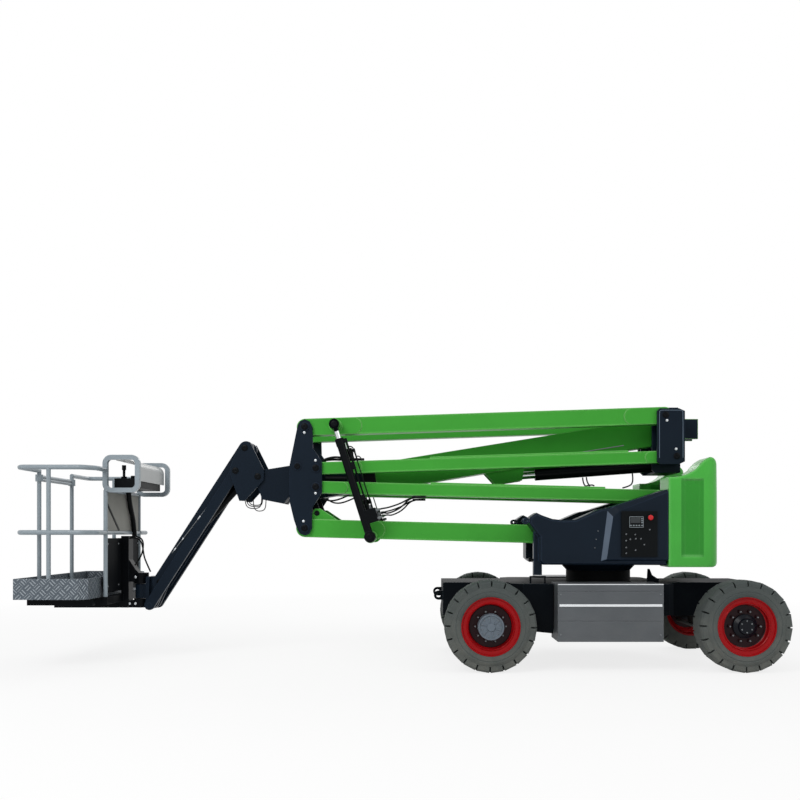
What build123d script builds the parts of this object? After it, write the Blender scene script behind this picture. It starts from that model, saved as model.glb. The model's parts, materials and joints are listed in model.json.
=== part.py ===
"""Articulating boom lift, parked: wheels on the floor, both risers folded, boom down and jib hanging.

Frame: +X runs from the basket to the counterweight, +Z is up, and the near side is -Y. The origin is on the
floor, on the centre line, at the middle of the overall length. Millimetres.
"""

import math
import os

from build123d import *

os.makedirs("parts", exist_ok=True)

# ---------------------------------------------------------------- driving sizes
WHEEL_R, WHEEL_W, WHEEL_Y = 355, 240, 730
DRIVE_X, STEER_X, AXLE_Z = 685, 2645, 355
KINGPIN_Y = 560
SPINDLE_Y = 757                     # the spindle's end, just short of the rim's disc
SWING_X = 1665

DECK_Z = 805
COVER_NEAR, COVER_FAR = 365, 600

ARM_IN, ARM_OUT = 215, 315          # inner and outer faces of every riser arm, from the centre line
PLATE_IN, PLATE_OUT = 320, 345      # knuckle plates, outboard of the arms
INNER_IN, INNER_OUT = 185, 210      # knuckle plates, inboard of the arms
PIN_R = 25
PIN_GAP = 0.3

# Pins of the two stacked parallelograms, (x, z).
LOWER_ARM_BASE, LOWER_LINK_BASE = (2156, 1037.5), (2247, 1375.5)
LOWER_ARM_HEAD, LOWER_LINK_HEAD = (-803, 1115), (-712, 1453)
UPPER_LINK_FOOT, UPPER_ARM_FOOT = (-712, 1607), (-803, 1945)
UPPER_LINK_HEAD, UPPER_ARM_HEAD = (2246, 1705), (2155, 2043)
LEVER_PIN, GUSSET_PIN = (-863, 1620), (-708, 1238)
LOWER_ARM_H, LINK_H, UPPER_ARM_H = 150, 100, 140

RISER_CYL_Y, RISER_CYL_FOOT, RISER_CYL_HEAD = 450, (-262, 1042), (-550, 1953)
RISER_BARREL_R, RISER_ROD_R, RISER_EYE_R = 32.5, 20, 42

BOOM_PIVOT, BOOM_SLOPE = (2250, 1948), 9.16
BOOM_H, BOOM_HALF_W, BOOM_WALL = 230, 100, 8
BOOM_TAIL, BOOM_TIP = -120, 2624
INNER_H, INNER_HALF_W, INNER_BACK = 200, 86, 520
LIFT_FOOT, LIFT_EYE = (2180, 1649), (885, 1554)
LIFT_BARREL_R, LIFT_ROD_R = 49, 30

KNEE_PIVOT = (-1220, 1548.5)
KNEE_IN, KNEE_OUT = 150, 165
JIB_SLOPE = 57.2
JIB_ARM_PIN, JIB_LINK_PIN = (-1329.5, 1789), (-1406.8, 1598)
JIB_ARM_END, JIB_LINK_END = (-2058.4, 658.5), (-2135.7, 467.5)
JIB_ARM_H, JIB_LINK_H = 124, 83
JIB_ARM_IN, JIB_ARM_OUT = 62, 104
JIB_LINK_IN, JIB_LINK_OUT = 110, 145
JIB_CYL_KNEE = (-1320, 1570)
JIB_CYL_ALONG, JIB_CYL_RISE = 1000, 20

TURN_X = -2245                      # vertical axis on which the platform turns
BASKET_X0, BASKET_X1, BASKET_Y = -3000, -2440, 780
FLOOR_Z, TOE_Z, MID_RAIL_Z, TOP_RAIL_Z = 557, 719, 1078, 1585
RAIL_R, POST_R = 19, 17
LOOP_Y, LOOP_X, LOOP_Z, LOOP_CORNER, LOOP_TUBE = 436, (-2403, -2142), (1421, 1687), 69, 19


# ---------------------------------------------------------------- small helpers
def plate(corners, near, far, mode=Mode.ADD):
    """A flat shape in side view, from (x, z) corners, between two distances on the near side."""
    with BuildSketch(Plane.XZ.offset(near)) as side:
        Polygon(*corners, align=None)
    extrude(side.sketch, amount=far - near, mode=mode)


def disc(centre, radius, near, far, mode=Mode.ADD):
    """A round boss, pin or bore across the machine."""
    with BuildSketch(Plane.XZ.offset(near)) as side:
        with Locations(centre):
            Circle(radius)
    extrude(side.sketch, amount=far - near, mode=mode)


def bar(start, end, height, near, far, mode=Mode.ADD):
    """A straight bar with round ends about two pins."""
    run, rise = end[0] - start[0], end[1] - start[1]
    middle = ((start[0] + end[0]) / 2, (start[1] + end[1]) / 2)
    with BuildSketch(Plane.XZ.offset(near)) as side:
        with Locations(middle):
            SlotCenterToCenter(math.hypot(run, rise), height, rotation=math.degrees(math.atan2(rise, run)))
    extrude(side.sketch, amount=far - near, mode=mode)


def beam(start, end, height, near, far, mode=Mode.ADD):
    """A straight bar with square ends."""
    run, rise = end[0] - start[0], end[1] - start[1]
    middle = ((start[0] + end[0]) / 2, (start[1] + end[1]) / 2)
    with BuildSketch(Plane.XZ.offset(near)) as side:
        with Locations(middle):
            Rectangle(math.hypot(run, rise), height, rotation=math.degrees(math.atan2(rise, run)))
    extrude(side.sketch, amount=far - near, mode=mode)


def block(x, y, z, mode=Mode.ADD):
    """A box from its (low, high) pairs."""
    with BuildSketch(Plane.XY.offset(z[0])) as plan:
        with Locations(((x[0] + x[1]) / 2, (y[0] + y[1]) / 2)):
            Rectangle(x[1] - x[0], y[1] - y[0])
    extrude(plan.sketch, amount=z[1] - z[0], mode=mode)


def rod(start, end, radius, mode=Mode.ADD):
    """A round bar between two points."""
    along = Vector(*end) - Vector(*start)
    with BuildSketch(Plane(origin=start, z_dir=along)) as section:
        Circle(radius)
    extrude(section.sketch, amount=along.length, mode=mode)


def along(start, end, distance, rise=0):
    """The (x, z) point at a distance from start towards end, and so far to the left of that way."""
    length = math.hypot(end[0] - start[0], end[1] - start[1])
    ux, uz = (end[0] - start[0]) / length, (end[1] - start[1]) / length
    return (start[0] + distance * ux - rise * uz, start[1] + distance * uz + rise * ux)


def save(piece, name):
    piece.part.label = name
    export_step(piece.part, f"parts/{name}.step")


# ---------------------------------------------------------------- chassis
FRAME_HALF, FRAME_Z0, FRAME_Z1 = 355, 400, 670
FRAME_RAIL, FRAME_DECK = 60, 14     # thickness of the side rails and of the top and end plates
FRAME_X0, FRAME_X1, OUTRIGGER_Y = 330, 2900, 600
OUTRIGGER_X0, OUTRIGGER_X1, CORNER_CUT = 870, 2160, 90
BATTERY_X, BATTERY_Y, BATTERY_Z = (1204, 2018), (450, 800), (235, 681)
LOCK_LOOP_X, LOCK_LOOP_Y, LOCK_LOOP_Z = (1030, 1146), -485, 722
TIE_X, TIE_Z, TIE_R, TIE_Y = (295, 2935), 560, 18, (250, 270)

with BuildPart() as chassis_frame:
    block((FRAME_X0, FRAME_X1), (-FRAME_HALF, 0), (FRAME_Z0, FRAME_Z1))
    # The sides step out to full width between the wheels, with a corner cut off in plan behind each wheel.
    plate([(OUTRIGGER_X0, 490), (975, 300), (BATTERY_X[0] - 9, 279), (BATTERY_X[0] - 9, FRAME_Z1),
           (OUTRIGGER_X0, FRAME_Z1)], FRAME_HALF, OUTRIGGER_Y)
    block((BATTERY_X[1] + 7, OUTRIGGER_X1), (-OUTRIGGER_Y, -FRAME_HALF), (420, FRAME_Z1))
    block((BATTERY_X[0] - 9, BATTERY_X[1] + 7), (-BATTERY_Y[0] + 10, -FRAME_HALF), (420, FRAME_Z1))
    for corner, into in ((OUTRIGGER_X0, CORNER_CUT), (OUTRIGGER_X1, -CORNER_CUT / 2)):
        with BuildSketch(Plane.XY.offset(FRAME_Z0 - 200)) as plan:
            Polygon((corner, -OUTRIGGER_Y - 1), (corner + into, -OUTRIGGER_Y - 1), (corner, -OUTRIGGER_Y + abs(into)),
                    align=None)
        extrude(plan.sketch, amount=FRAME_Z1, mode=Mode.SUBTRACT)
    # Relief over the drive axle's tube.
    disc((DRIVE_X, AXLE_Z), 90, 0, FRAME_HALF, Mode.SUBTRACT)
    # Tie-down lugs: upright at the front, and flat at the rear, where the wheels stand beside them.
    tie_middle = (TIE_Y[0] + TIE_Y[1]) / 2
    bar((TIE_X[0], TIE_Z), (FRAME_X0, TIE_Z), 76, *TIE_Y)
    with BuildSketch(Plane.XY.offset(TIE_Z - 10)) as flat_lug:
        with Locations((TIE_X[1] - 35, -tie_middle)):
            SlotCenterToCenter(70, 76)
    extrude(flat_lug.sketch, amount=20)
    # Welded box, open below.
    block((FRAME_X0 + FRAME_DECK, FRAME_X1 - FRAME_DECK), (-FRAME_HALF + FRAME_RAIL, 1),
          (FRAME_Z0, FRAME_Z1 - FRAME_DECK), Mode.SUBTRACT)
    disc((TIE_X[0], TIE_Z), TIE_R, TIE_Y[0] - 1, TIE_Y[1] + 1, Mode.SUBTRACT)
    rod((TIE_X[1], -tie_middle, TIE_Z - 11), (TIE_X[1], -tie_middle, TIE_Z + 11), TIE_R, Mode.SUBTRACT)
    mirror(about=Plane.XZ)
    # Bent-bar socket under the swing lock, and the hose hook behind the near battery box.
    for x in LOCK_LOOP_X:
        rod((x, LOCK_LOOP_Y, FRAME_Z1 - 5), (x, LOCK_LOOP_Y, LOCK_LOOP_Z), 7)
    rod((LOCK_LOOP_X[0] - 7, LOCK_LOOP_Y, LOCK_LOOP_Z), (LOCK_LOOP_X[1] + 7, LOCK_LOOP_Y, LOCK_LOOP_Z), 7)
    plate([(1978, FRAME_Z1 - 1), (2073, FRAME_Z1 - 1), (2073, 700), (2020, 735), (2000, 784), (1985, 784)], 424, 439)
save(chassis_frame, "chassis_frame")

RING_R, RING_BORE_R, RING_H = 270, 190, 90

with BuildPart() as slewing_ring:
    with BuildSketch(Plane.XY.offset(FRAME_Z1)):
        with Locations((SWING_X, 0)):
            Circle(RING_R)
            Circle(RING_BORE_R, mode=Mode.SUBTRACT)
    extrude(amount=RING_H)
save(slewing_ring, "slewing_ring")

AXLE_TUBE_R, AXLE_TUBE_END, SPINDLE_R = 85, 590, 60
AXLE_PAD_HALF_X, AXLE_PAD_HALF_Y = 120, 330

with BuildPart() as drive_axle:
    rod((DRIVE_X, -AXLE_TUBE_END, AXLE_Z), (DRIVE_X, AXLE_TUBE_END, AXLE_Z), AXLE_TUBE_R)
    block((DRIVE_X - AXLE_PAD_HALF_X, DRIVE_X + AXLE_PAD_HALF_X), (-AXLE_PAD_HALF_Y, AXLE_PAD_HALF_Y), (AXLE_Z, FRAME_Z0))
    rod((DRIVE_X, -SPINDLE_Y, AXLE_Z), (DRIVE_X, SPINDLE_Y, AXLE_Z), SPINDLE_R)
save(drive_axle, "drive_axle")

BEAM_HALF_X, BEAM_LOW, BEAM_HIGH = 75, 75, 45
FORK_Y, FORK_HALF_X, FORK_WALL, FORK_INSIDE = (430, 470, 600), 45, 30, 95

with BuildPart() as steer_axle:
    block((STEER_X - BEAM_HALF_X, STEER_X + BEAM_HALF_X), (-FORK_Y[1], FORK_Y[1]), (AXLE_Z - BEAM_LOW, AXLE_Z + BEAM_HIGH))
    for side in (-1, 1):
        # Fork above and below the kingpin.
        fork_x, reach = (STEER_X - FORK_HALF_X, STEER_X + FORK_HALF_X), FORK_INSIDE + FORK_WALL
        tines, back = sorted((side * FORK_Y[1], side * FORK_Y[2])), sorted((side * FORK_Y[0], side * FORK_Y[1]))
        block(fork_x, tines, (AXLE_Z + FORK_INSIDE, AXLE_Z + reach))
        block(fork_x, tines, (AXLE_Z - reach, AXLE_Z - FORK_INSIDE))
        block(fork_x, back, (AXLE_Z - reach, AXLE_Z + reach))
save(steer_axle, "steer_axle")

KINGPIN_R, KINGPIN_HALF, TIE_ROD_BACK, TIE_ROD_R = 38, 90, 140, 16
ARM_HALF, ARM_BACK, ARM_Z = 15, 160, (AXLE_Z - 50, AXLE_Z - 20)

for name, side in (("steer_knuckle_near", -1), ("steer_knuckle_far", 1)):
    with BuildPart() as steer_knuckle:
        middle = side * KINGPIN_Y
        rod((STEER_X, middle, AXLE_Z - KINGPIN_HALF), (STEER_X, middle, AXLE_Z + KINGPIN_HALF), KINGPIN_R)
        rod((STEER_X, middle, AXLE_Z), (STEER_X, side * SPINDLE_Y, AXLE_Z), SPINDLE_R)
        block((STEER_X - ARM_BACK, STEER_X), (middle - ARM_HALF, middle + ARM_HALF), ARM_Z)
    save(steer_knuckle, name)

with BuildPart() as tie_rod:
    x, z = STEER_X - TIE_ROD_BACK, AXLE_Z - 75
    rod((x, -KINGPIN_Y - 20, z), (x, KINGPIN_Y + 20, z), TIE_ROD_R)
save(tie_rod, "tie_rod")

LID_SEAM_Z, PULL_RAIL_Z, DOOR_SEAM_Z, SEAM = 627, 515, 397, 4

with BuildPart() as battery_boxes:
    for side in (-1, 1):
        near, far = sorted((side * BATTERY_Y[0], side * BATTERY_Y[1]))
        block(BATTERY_X, (near, far), BATTERY_Z)
        face = side * BATTERY_Y[1]
        outside = sorted((face, face + side * 5))
        inside = sorted((face - side * SEAM, face + side))
        # Folded lid edge, seams between the sheets, and the pull rail along the middle.
        block((BATTERY_X[0], BATTERY_X[1]), inside, (LID_SEAM_Z - SEAM, LID_SEAM_Z), Mode.SUBTRACT)
        block((BATTERY_X[0], BATTERY_X[1]), inside, (DOOR_SEAM_Z - SEAM, DOOR_SEAM_Z), Mode.SUBTRACT)
        block((BATTERY_X[0] + 12, BATTERY_X[1] - 12), outside, (PULL_RAIL_Z - 9, PULL_RAIL_Z + 9))
save(battery_boxes, "battery_boxes")

# ---------------------------------------------------------------- wheels
RIM_R, LUGS = 228, 20
LUG_ARC, NOTCH_DEPTH, NOTCH_LENGTH = 360 / LUGS, 42, 62
SHOULDER_WIDTH, SHOULDER_DROP = 22, 15
# Corners of one lug and its slot: (share of the lug's arc, 1 where the slot's floor is).
LUG_CORNERS = [(0.0, 0), (0.88, 0), (0.88, 1), (1.0, 1)]


def tread_outline(phase, radius, notch):
    """Corners of the tread in side view: a lug, then a slot with radial walls, all the way round."""
    corners = []
    for lug in range(LUGS):
        for share, floor in LUG_CORNERS:
            angle = math.radians(phase + (lug + share) * LUG_ARC)
            corners.append(((radius - floor * notch) * math.cos(angle), (radius - floor * notch) * math.sin(angle)))
    return corners


with BuildPart() as tyre_blank:
    half = WHEEL_W / 2
    for phase, side in ((0, -1), (LUG_ARC / 2, 1)):
        step, shoulder, edge = (side * (half - inset) for inset in (NOTCH_LENGTH, SHOULDER_WIDTH, 0))
        with BuildSketch(Plane.XZ.offset(-step)) as row:
            Polygon(*tread_outline(phase, WHEEL_R, NOTCH_DEPTH), align=None)
        extrude(row.sketch, amount=-side * (NOTCH_LENGTH - SHOULDER_WIDTH))
        # The shoulder tapers in towards the sidewall.
        with BuildSketch(Plane.XZ.offset(-shoulder)) as inner:
            Polygon(*tread_outline(phase, WHEEL_R, NOTCH_DEPTH), align=None)
        with BuildSketch(Plane.XZ.offset(-edge)) as outer:
            Polygon(*tread_outline(phase, WHEEL_R - SHOULDER_DROP, NOTCH_DEPTH - 8), align=None)
        loft([inner.sketch, outer.sketch], ruled=True)
    with BuildSketch(Plane.XZ.offset(-half + NOTCH_LENGTH)) as crown:
        RegularPolygon(WHEEL_R, 2 * LUGS)
    extrude(crown.sketch, amount=WHEEL_W - 2 * NOTCH_LENGTH)
    with BuildSketch(Plane.XZ.offset(-half)) as bore:
        RegularPolygon(RIM_R, 2 * LUGS, major_radius=False)
    extrude(bore.sketch, amount=WHEEL_W, mode=Mode.SUBTRACT)

# Sections from the outer face inwards: (radius, distance from the wheel's middle). The rim has a rolled bead
# round its dished disc and a lip against the tyre.
RIM_PROFILE = [(0, 28), (0, 50), (160, 50), (172, 58), (174, 104), (180, 109), (188, 101), (214, 105), (220, 118),
               (227.9, 118), (227.9, -118), (214, -118), (205, -60), (172, -30), (172, 28)]
DRIVE_HUB = [(0, 49), (100, 49), (100, 144), (96, 149), (88, 149), (85, 142), (34, 142), (30, 150), (0, 150)]
STEER_HUB = [(0, 49), (93, 49), (93, 72), (64, 94), (58, 110), (0, 110)]
NUT_CIRCLE, NUTS, NUT_R, NUT_TOP = 118, 10, 13, 70


def rim_blank(hub):
    """A dished disc wheel with its hub, facing -Y, at the origin."""
    with BuildPart() as rim:
        for profile in (RIM_PROFILE, hub):
            with BuildSketch(Plane.YZ) as section:
                Polygon(*[(-y, r) for r, y in profile], align=None)
            revolve(section.sketch, axis=Axis.Y)
        with BuildSketch(Plane.XZ.offset(49)) as nuts:
            with PolarLocations(NUT_CIRCLE, NUTS):
                RegularPolygon(NUT_R, 6)
        extrude(nuts.sketch, amount=NUT_TOP - 49)
    return rim.part


for place, x, hub in (("drive", DRIVE_X, DRIVE_HUB), ("steer", STEER_X, STEER_HUB)):
    blank = rim_blank(hub)
    for side, name in ((-1, "near"), (1, "far")):
        where = Pos(x, side * WHEEL_Y, AXLE_Z) * Rot(0, 0, 0 if side < 0 else 180)
        with BuildPart() as tyre:
            add(where * tyre_blank.part)
        save(tyre, f"tyre_{place}_{name}")
        with BuildPart() as rim:
            add(where * blank)
        save(rim, f"rim_{place}_{name}")

# ---------------------------------------------------------------- turntable
COVER_OUTLINE = [(1090, 850), (1120, 822), (2100, DECK_Z + 14), (2100, 1420), (1686, 1290), (1640, 1275), (1567, 1262),
                 (1377, 1180), (1274, 1176), (1190, 1186), (1110, 1214), (1066, 1235), (1015, 1200), (1010, 1150),
                 (1090, 1040)]
# The rear panel stands proud behind a broad chamfer: its outline at the foot and at the top of the chamfer.
PANEL_FOOT = [(1575, 852), (1626, 1248), (1686, 1290), (2100, 1420), (2100, 852)]
PANEL_TOP = [(1615, 866), (1666, 1203), (1721, 1250), (2100, 1398), (2100, 866)]
PANEL_RISE, NOSE_CHAMFER = 24, 14
LIFT_EYE_CENTRE, LIFT_EYE_R, LIFT_EYE_HOLE = (991, 1172), 25, 11
LIFT_EYE_LAYERS = [(425, 437), (520, 532)]
LOCK_X, LOCK_Y, LOCK_Z = (1052, 1118), (450, 520), (738, 1100)
CONE_FOOT_R, CONE_TOP_R, CONE_TOP_Z = 268, 318, 815
CONTROLS_X, CONTROLS_Z, CONTROLS_DEPTH = (1729, 2012), (886, 1246), 14
DISPLAY_X, DISPLAY_Z, STOP_CENTRE, STOP_R = (1790, 1902), (1116, 1204), (1953, 1195), 21

DECK_X, DECK_PLATE_Z = (1100, 2330), (DECK_Z + 20, DECK_Z + 45)
UPRIGHT = [(1300, DECK_Z + 30), (2328, DECK_Z + 30), (2328, 1400), (2290, 1440), (2200, 1440), (2090, 1200),
           (1900, 1130), (1500, 930), (1300, 900)]

with BuildPart() as turntable_deck:
    block(DECK_X, (-PLATE_OUT, PLATE_OUT), DECK_PLATE_Z)
    # Flared skirt down to the slewing ring.
    with BuildSketch(Plane.XZ) as skirt:
        Polygon((0, FRAME_Z1 + 90.5), (CONE_FOOT_R, FRAME_Z1 + 90.5), (CONE_TOP_R, CONE_TOP_Z), (CONE_TOP_R, DECK_Z + 21),
                (0, DECK_Z + 21), align=None)
    add(Pos(SWING_X, 0, 0) * revolve(skirt.sketch, axis=Axis.Z, mode=Mode.PRIVATE))
    # Upright plates that carry the riser's lower pins.
    for near, far in ((PLATE_IN, PLATE_OUT), (INNER_IN, INNER_OUT)):
        plate(UPRIGHT, near, far)
    for pin in (LOWER_ARM_BASE, LOWER_LINK_BASE):
        disc(pin, PIN_R - PIN_GAP, INNER_IN, PLATE_OUT)
    mirror(about=Plane.XZ)
save(turntable_deck, "turntable_deck")

for name, side in (("side_cover_near", -1), ("side_cover_far", 1)):
    with BuildPart() as cover:
        plate(COVER_OUTLINE, COVER_NEAR, COVER_FAR)
        chamfer(cover.faces().sort_by(Axis.Y)[0].edges(), NOSE_CHAMFER)
        with BuildSketch(Plane.XZ.offset(COVER_FAR - NOSE_CHAMFER)) as foot:
            Polygon(*PANEL_FOOT, align=None)
        extrude(foot.sketch, amount=NOSE_CHAMFER)
        with BuildSketch(Plane.XZ.offset(COVER_FAR)) as foot:
            Polygon(*PANEL_FOOT, align=None)
        with BuildSketch(Plane.XZ.offset(COVER_FAR + PANEL_RISE)) as top:
            Polygon(*PANEL_TOP, align=None)
        loft([foot.sketch, top.sketch], ruled=True)
        # Lifting eyes on the nose.
        for near, far in LIFT_EYE_LAYERS:
            disc(LIFT_EYE_CENTRE, LIFT_EYE_R, near, far)
            disc(LIFT_EYE_CENTRE, LIFT_EYE_HOLE, near - 1, far + 1, Mode.SUBTRACT)
        if side < 0:
            # Swing lock post, down to just above its socket on the chassis.
            block(LOCK_X, (-LOCK_Y[1], -LOCK_Y[0]), LOCK_Z)
        else:
            mirror(about=Plane.XZ, mode=Mode.REPLACE)
    save(cover, name)

# The counterweight is one casting: this side view, cut to the plan's rounded corners, with a shallow panel in
# each side and a slot for the arms.
WEIGHT_X, WEIGHT_HALF, WEIGHT_CORNER = (2107, 2516), 620, 110
SLOT_HALF, SLOT_X1, DIP_Z = 352, 2336, 1560
WEIGHT_PANEL_X, WEIGHT_PANEL_Z, WEIGHT_PANEL_DEPTH = (2224, 2364), (892, 1500), 13

with BuildPart() as counterweight:
    with BuildSketch(Plane.XZ) as side_view:
        with BuildLine():
            Line((2107, 804), (2448, 804))
            RadiusArc((2448, 804), (2516, 872), -68)
            Line((2516, 872), (2510, 1300))
            Line((2510, 1300), (2499, 1600))
            ThreePointArc((2499, 1600), (2480, 1655), (2430, 1674))
            ThreePointArc((2430, 1674), (2388, 1648), (2328, 1584))
            ThreePointArc((2328, 1584), (2230, 1532), (2107, 1517))
            Line((2107, 1517), (2107, 804))
        make_face()
    extrude(side_view.sketch, amount=WEIGHT_HALF, both=True)
    with BuildSketch(Plane.XY) as plan:
        with Locations((WEIGHT_X[1] - 300, 0)):
            RectangleRounded(600, 2 * WEIGHT_HALF, WEIGHT_CORNER)
    extrude(plan.sketch, amount=2000, mode=Mode.INTERSECT)
    for side in (-1, 1):
        face = side * WEIGHT_HALF
        with BuildSketch(Plane.XY.offset(WEIGHT_PANEL_Z[0])) as groove:
            Polygon((WEIGHT_PANEL_X[0] - 26, face + side), (WEIGHT_PANEL_X[0] + 14, face - side * WEIGHT_PANEL_DEPTH),
                    (WEIGHT_PANEL_X[1] - 14, face - side * WEIGHT_PANEL_DEPTH), (WEIGHT_PANEL_X[1] + 26, face + side),
                    align=None)
        extrude(groove.sketch, amount=WEIGHT_PANEL_Z[1] - WEIGHT_PANEL_Z[0], mode=Mode.SUBTRACT)
    block((2000, SLOT_X1), (-SLOT_HALF, SLOT_HALF), (DECK_Z - 10, 1800), Mode.SUBTRACT)
    block((SLOT_X1 - 6, 2600), (-SLOT_HALF, SLOT_HALF), (DIP_Z, 1800), Mode.SUBTRACT)
save(counterweight, "counterweight")

with BuildPart() as ground_controls:
    back, face = COVER_FAR + PANEL_RISE, COVER_FAR + PANEL_RISE + CONTROLS_DEPTH
    block(CONTROLS_X, (-face, -back), CONTROLS_Z)
    # Raised frame round the display, and the stop button.
    block(DISPLAY_X, (-face - 6, -face), DISPLAY_Z)
    disc(STOP_CENTRE, STOP_R, face, face + 16)
save(ground_controls, "ground_controls")

# ---------------------------------------------------------------- riser
ARM_WALL, ACCESS_R, DOUBLER, TRAY_H, HEAD_END_R = 8, 28, 5, 14, 38
GUSSET = [(-762, 1180), (-738, 1262), (-724, 1275), (-679, 1275), (-527, 1173), (-527, 1120), (-700, 1120)]
GUSSET_PIN_R, CYLINDER_BOSS_R, CYLINDER_PIN_R = 22, 50, 25
# Box cross members between the two sides: (distance from the base pin, half length, half height).
LOWER_ARM_TIES = [(700, 60, 45), (1500, 60, 45), (2300, 60, 45)]
LOWER_LINK_TIE = (900, 50, 35)
LEVER_H, TIMING_H, TIMING_Y = 60, 50, (190, 206)


def hollow_arm(start, end, height, boss, doublers=(0, 0)):
    """One closed box arm on the near side: round pin ends, bores, an access hole each end inboard, and outboard a
    doubler plate of the given length from each pin."""
    bar(start, end, height, ARM_IN, ARM_OUT - DOUBLER)
    for pin, other, reach in ((start, end, doublers[0]), (end, start, doublers[1])):
        if reach:
            bar(pin, along(pin, other, reach - height / 2), height - 6, ARM_OUT - DOUBLER, ARM_OUT)
    length = math.hypot(end[0] - start[0], end[1] - start[1])
    inner = [along(start, end, boss), along(start, end, length - boss)]
    beam(*inner, height - 2 * ARM_WALL, ARM_IN + ARM_WALL, ARM_OUT - ARM_WALL, Mode.SUBTRACT)
    for hole in (along(start, end, boss + 60), along(start, end, length - boss - 60)):
        disc(hole, ACCESS_R, ARM_IN - 1, ARM_IN + ARM_WALL + 1, Mode.SUBTRACT)
    for pin in (start, end):
        disc(pin, PIN_R, ARM_IN - 1, ARM_OUT + 1, Mode.SUBTRACT)


def tray(start, end, height, reach):
    """A folded hose tray along the top of an arm, between two distances from its base pin."""
    rise = -(height / 2 + TRAY_H / 2)
    beam(along(start, end, reach[0], rise), along(start, end, reach[1], rise), TRAY_H, ARM_IN + 12, ARM_OUT - 12)


with BuildPart() as lower_arm:
    hollow_arm(LOWER_ARM_BASE, LOWER_ARM_HEAD, LOWER_ARM_H, 130, (240, 657))
    plate(GUSSET, 250, 290)
    disc(GUSSET_PIN, GUSSET_PIN_R, 180, 290)
    disc(RISER_CYL_FOOT, CYLINDER_BOSS_R, ARM_OUT, 400)
    disc(RISER_CYL_FOOT, CYLINDER_PIN_R - PIN_GAP, 400, RISER_CYL_Y + 42)
    for distance, half_x, half_z in LOWER_ARM_TIES:
        x, z = along(LOWER_ARM_BASE, LOWER_ARM_HEAD, distance)
        block((x - half_x, x + half_x), (-ARM_IN, 0), (z - half_z, z + half_z))
    mirror(about=Plane.XZ)
save(lower_arm, "lower_arm")

with BuildPart() as lower_link:
    hollow_arm(LOWER_LINK_BASE, LOWER_LINK_HEAD, LINK_H, 110, (180, 262))
    tray(LOWER_LINK_BASE, LOWER_LINK_HEAD, LINK_H, (580, 2020))
    # The head end is cut back round its pin, clear of the upper link's lever when the riser is up.
    with BuildSketch(Plane.XZ.offset(ARM_IN - 1)) as cut_back:
        with Locations(LOWER_LINK_HEAD):
            Circle(LINK_H)
            Circle(HEAD_END_R, mode=Mode.SUBTRACT)
        with Locations((LOWER_LINK_HEAD[0] + LINK_H, LOWER_LINK_HEAD[1])):
            Rectangle(2 * LINK_H, 3 * LINK_H, mode=Mode.SUBTRACT)
    extrude(cut_back.sketch, amount=ARM_OUT - ARM_IN + 2, mode=Mode.SUBTRACT)
    distance, half_x, half_z = LOWER_LINK_TIE
    x, z = along(LOWER_LINK_BASE, LOWER_LINK_HEAD, distance)
    block((x - half_x, x + half_x), (-ARM_IN, 0), (z - half_z, z + half_z))
    mirror(about=Plane.XZ)
save(lower_link, "lower_link")

with BuildPart() as upper_link:
    hollow_arm(UPPER_LINK_HEAD, UPPER_LINK_FOOT, LINK_H, 110, (253, 377))
    tray(UPPER_LINK_HEAD, UPPER_LINK_FOOT, LINK_H, (386, 2020))
    bar(UPPER_LINK_FOOT, LEVER_PIN, LEVER_H, ARM_IN, ARM_OUT - DOUBLER)
    disc(UPPER_LINK_FOOT, PIN_R, ARM_IN - 1, ARM_OUT + 1, Mode.SUBTRACT)
    mirror(about=Plane.XZ)
save(upper_link, "upper_link")

with BuildPart() as upper_arm:
    hollow_arm(UPPER_ARM_HEAD, UPPER_ARM_FOOT, UPPER_ARM_H, 130, (335, 468))
    disc(RISER_CYL_HEAD, CYLINDER_BOSS_R, ARM_OUT, RISER_CYL_Y - 38)
    mirror(about=Plane.XZ)
save(upper_arm, "upper_arm")

MID_PLATE = [(-860, 1961), (-842, 1990), (-803, 2007), (-764, 1990), (-741, 1945), (-736, 1769), (-671, 1675),
             (-663, 1657), (-663, 1403), (-745, 1275), (-745, 1115), (-764, 1068), (-803, 1053), (-842, 1068),
             (-865, 1105), (-891, 1181), (-927, 1331), (-927, 1632)]
PIN_CAP_R, PIN_CAP, LEVER_CAP_R, LEVER_CAP = 34, 12, 30, 10
MID_TIE_X, MID_TIE_Z = (-880, -775), (1200, 1310)

with BuildPart() as mid_knuckle:
    plate(MID_PLATE, PLATE_IN, PLATE_OUT)
    for pin in (LOWER_ARM_HEAD, LOWER_LINK_HEAD, UPPER_LINK_FOOT, UPPER_ARM_FOOT):
        disc(pin, PIN_R - PIN_GAP, ARM_IN - 5, PLATE_IN)
        disc(pin, PIN_CAP_R, PLATE_OUT, PLATE_OUT + PIN_CAP)
    disc(LEVER_PIN, LEVER_CAP_R, PLATE_OUT, PLATE_OUT + LEVER_CAP)
    block(MID_TIE_X, (-PLATE_IN, 0), MID_TIE_Z)
    mirror(about=Plane.XZ)
save(mid_knuckle, "mid_knuckle")

with BuildPart() as timing_links:
    bar(GUSSET_PIN, LEVER_PIN, TIMING_H, *TIMING_Y)
    disc(GUSSET_PIN, GUSSET_PIN_R + PIN_GAP, TIMING_Y[0] - 1, TIMING_Y[1] + 1, Mode.SUBTRACT)
    mirror(about=Plane.XZ)
save(timing_links, "timing_links")

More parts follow.
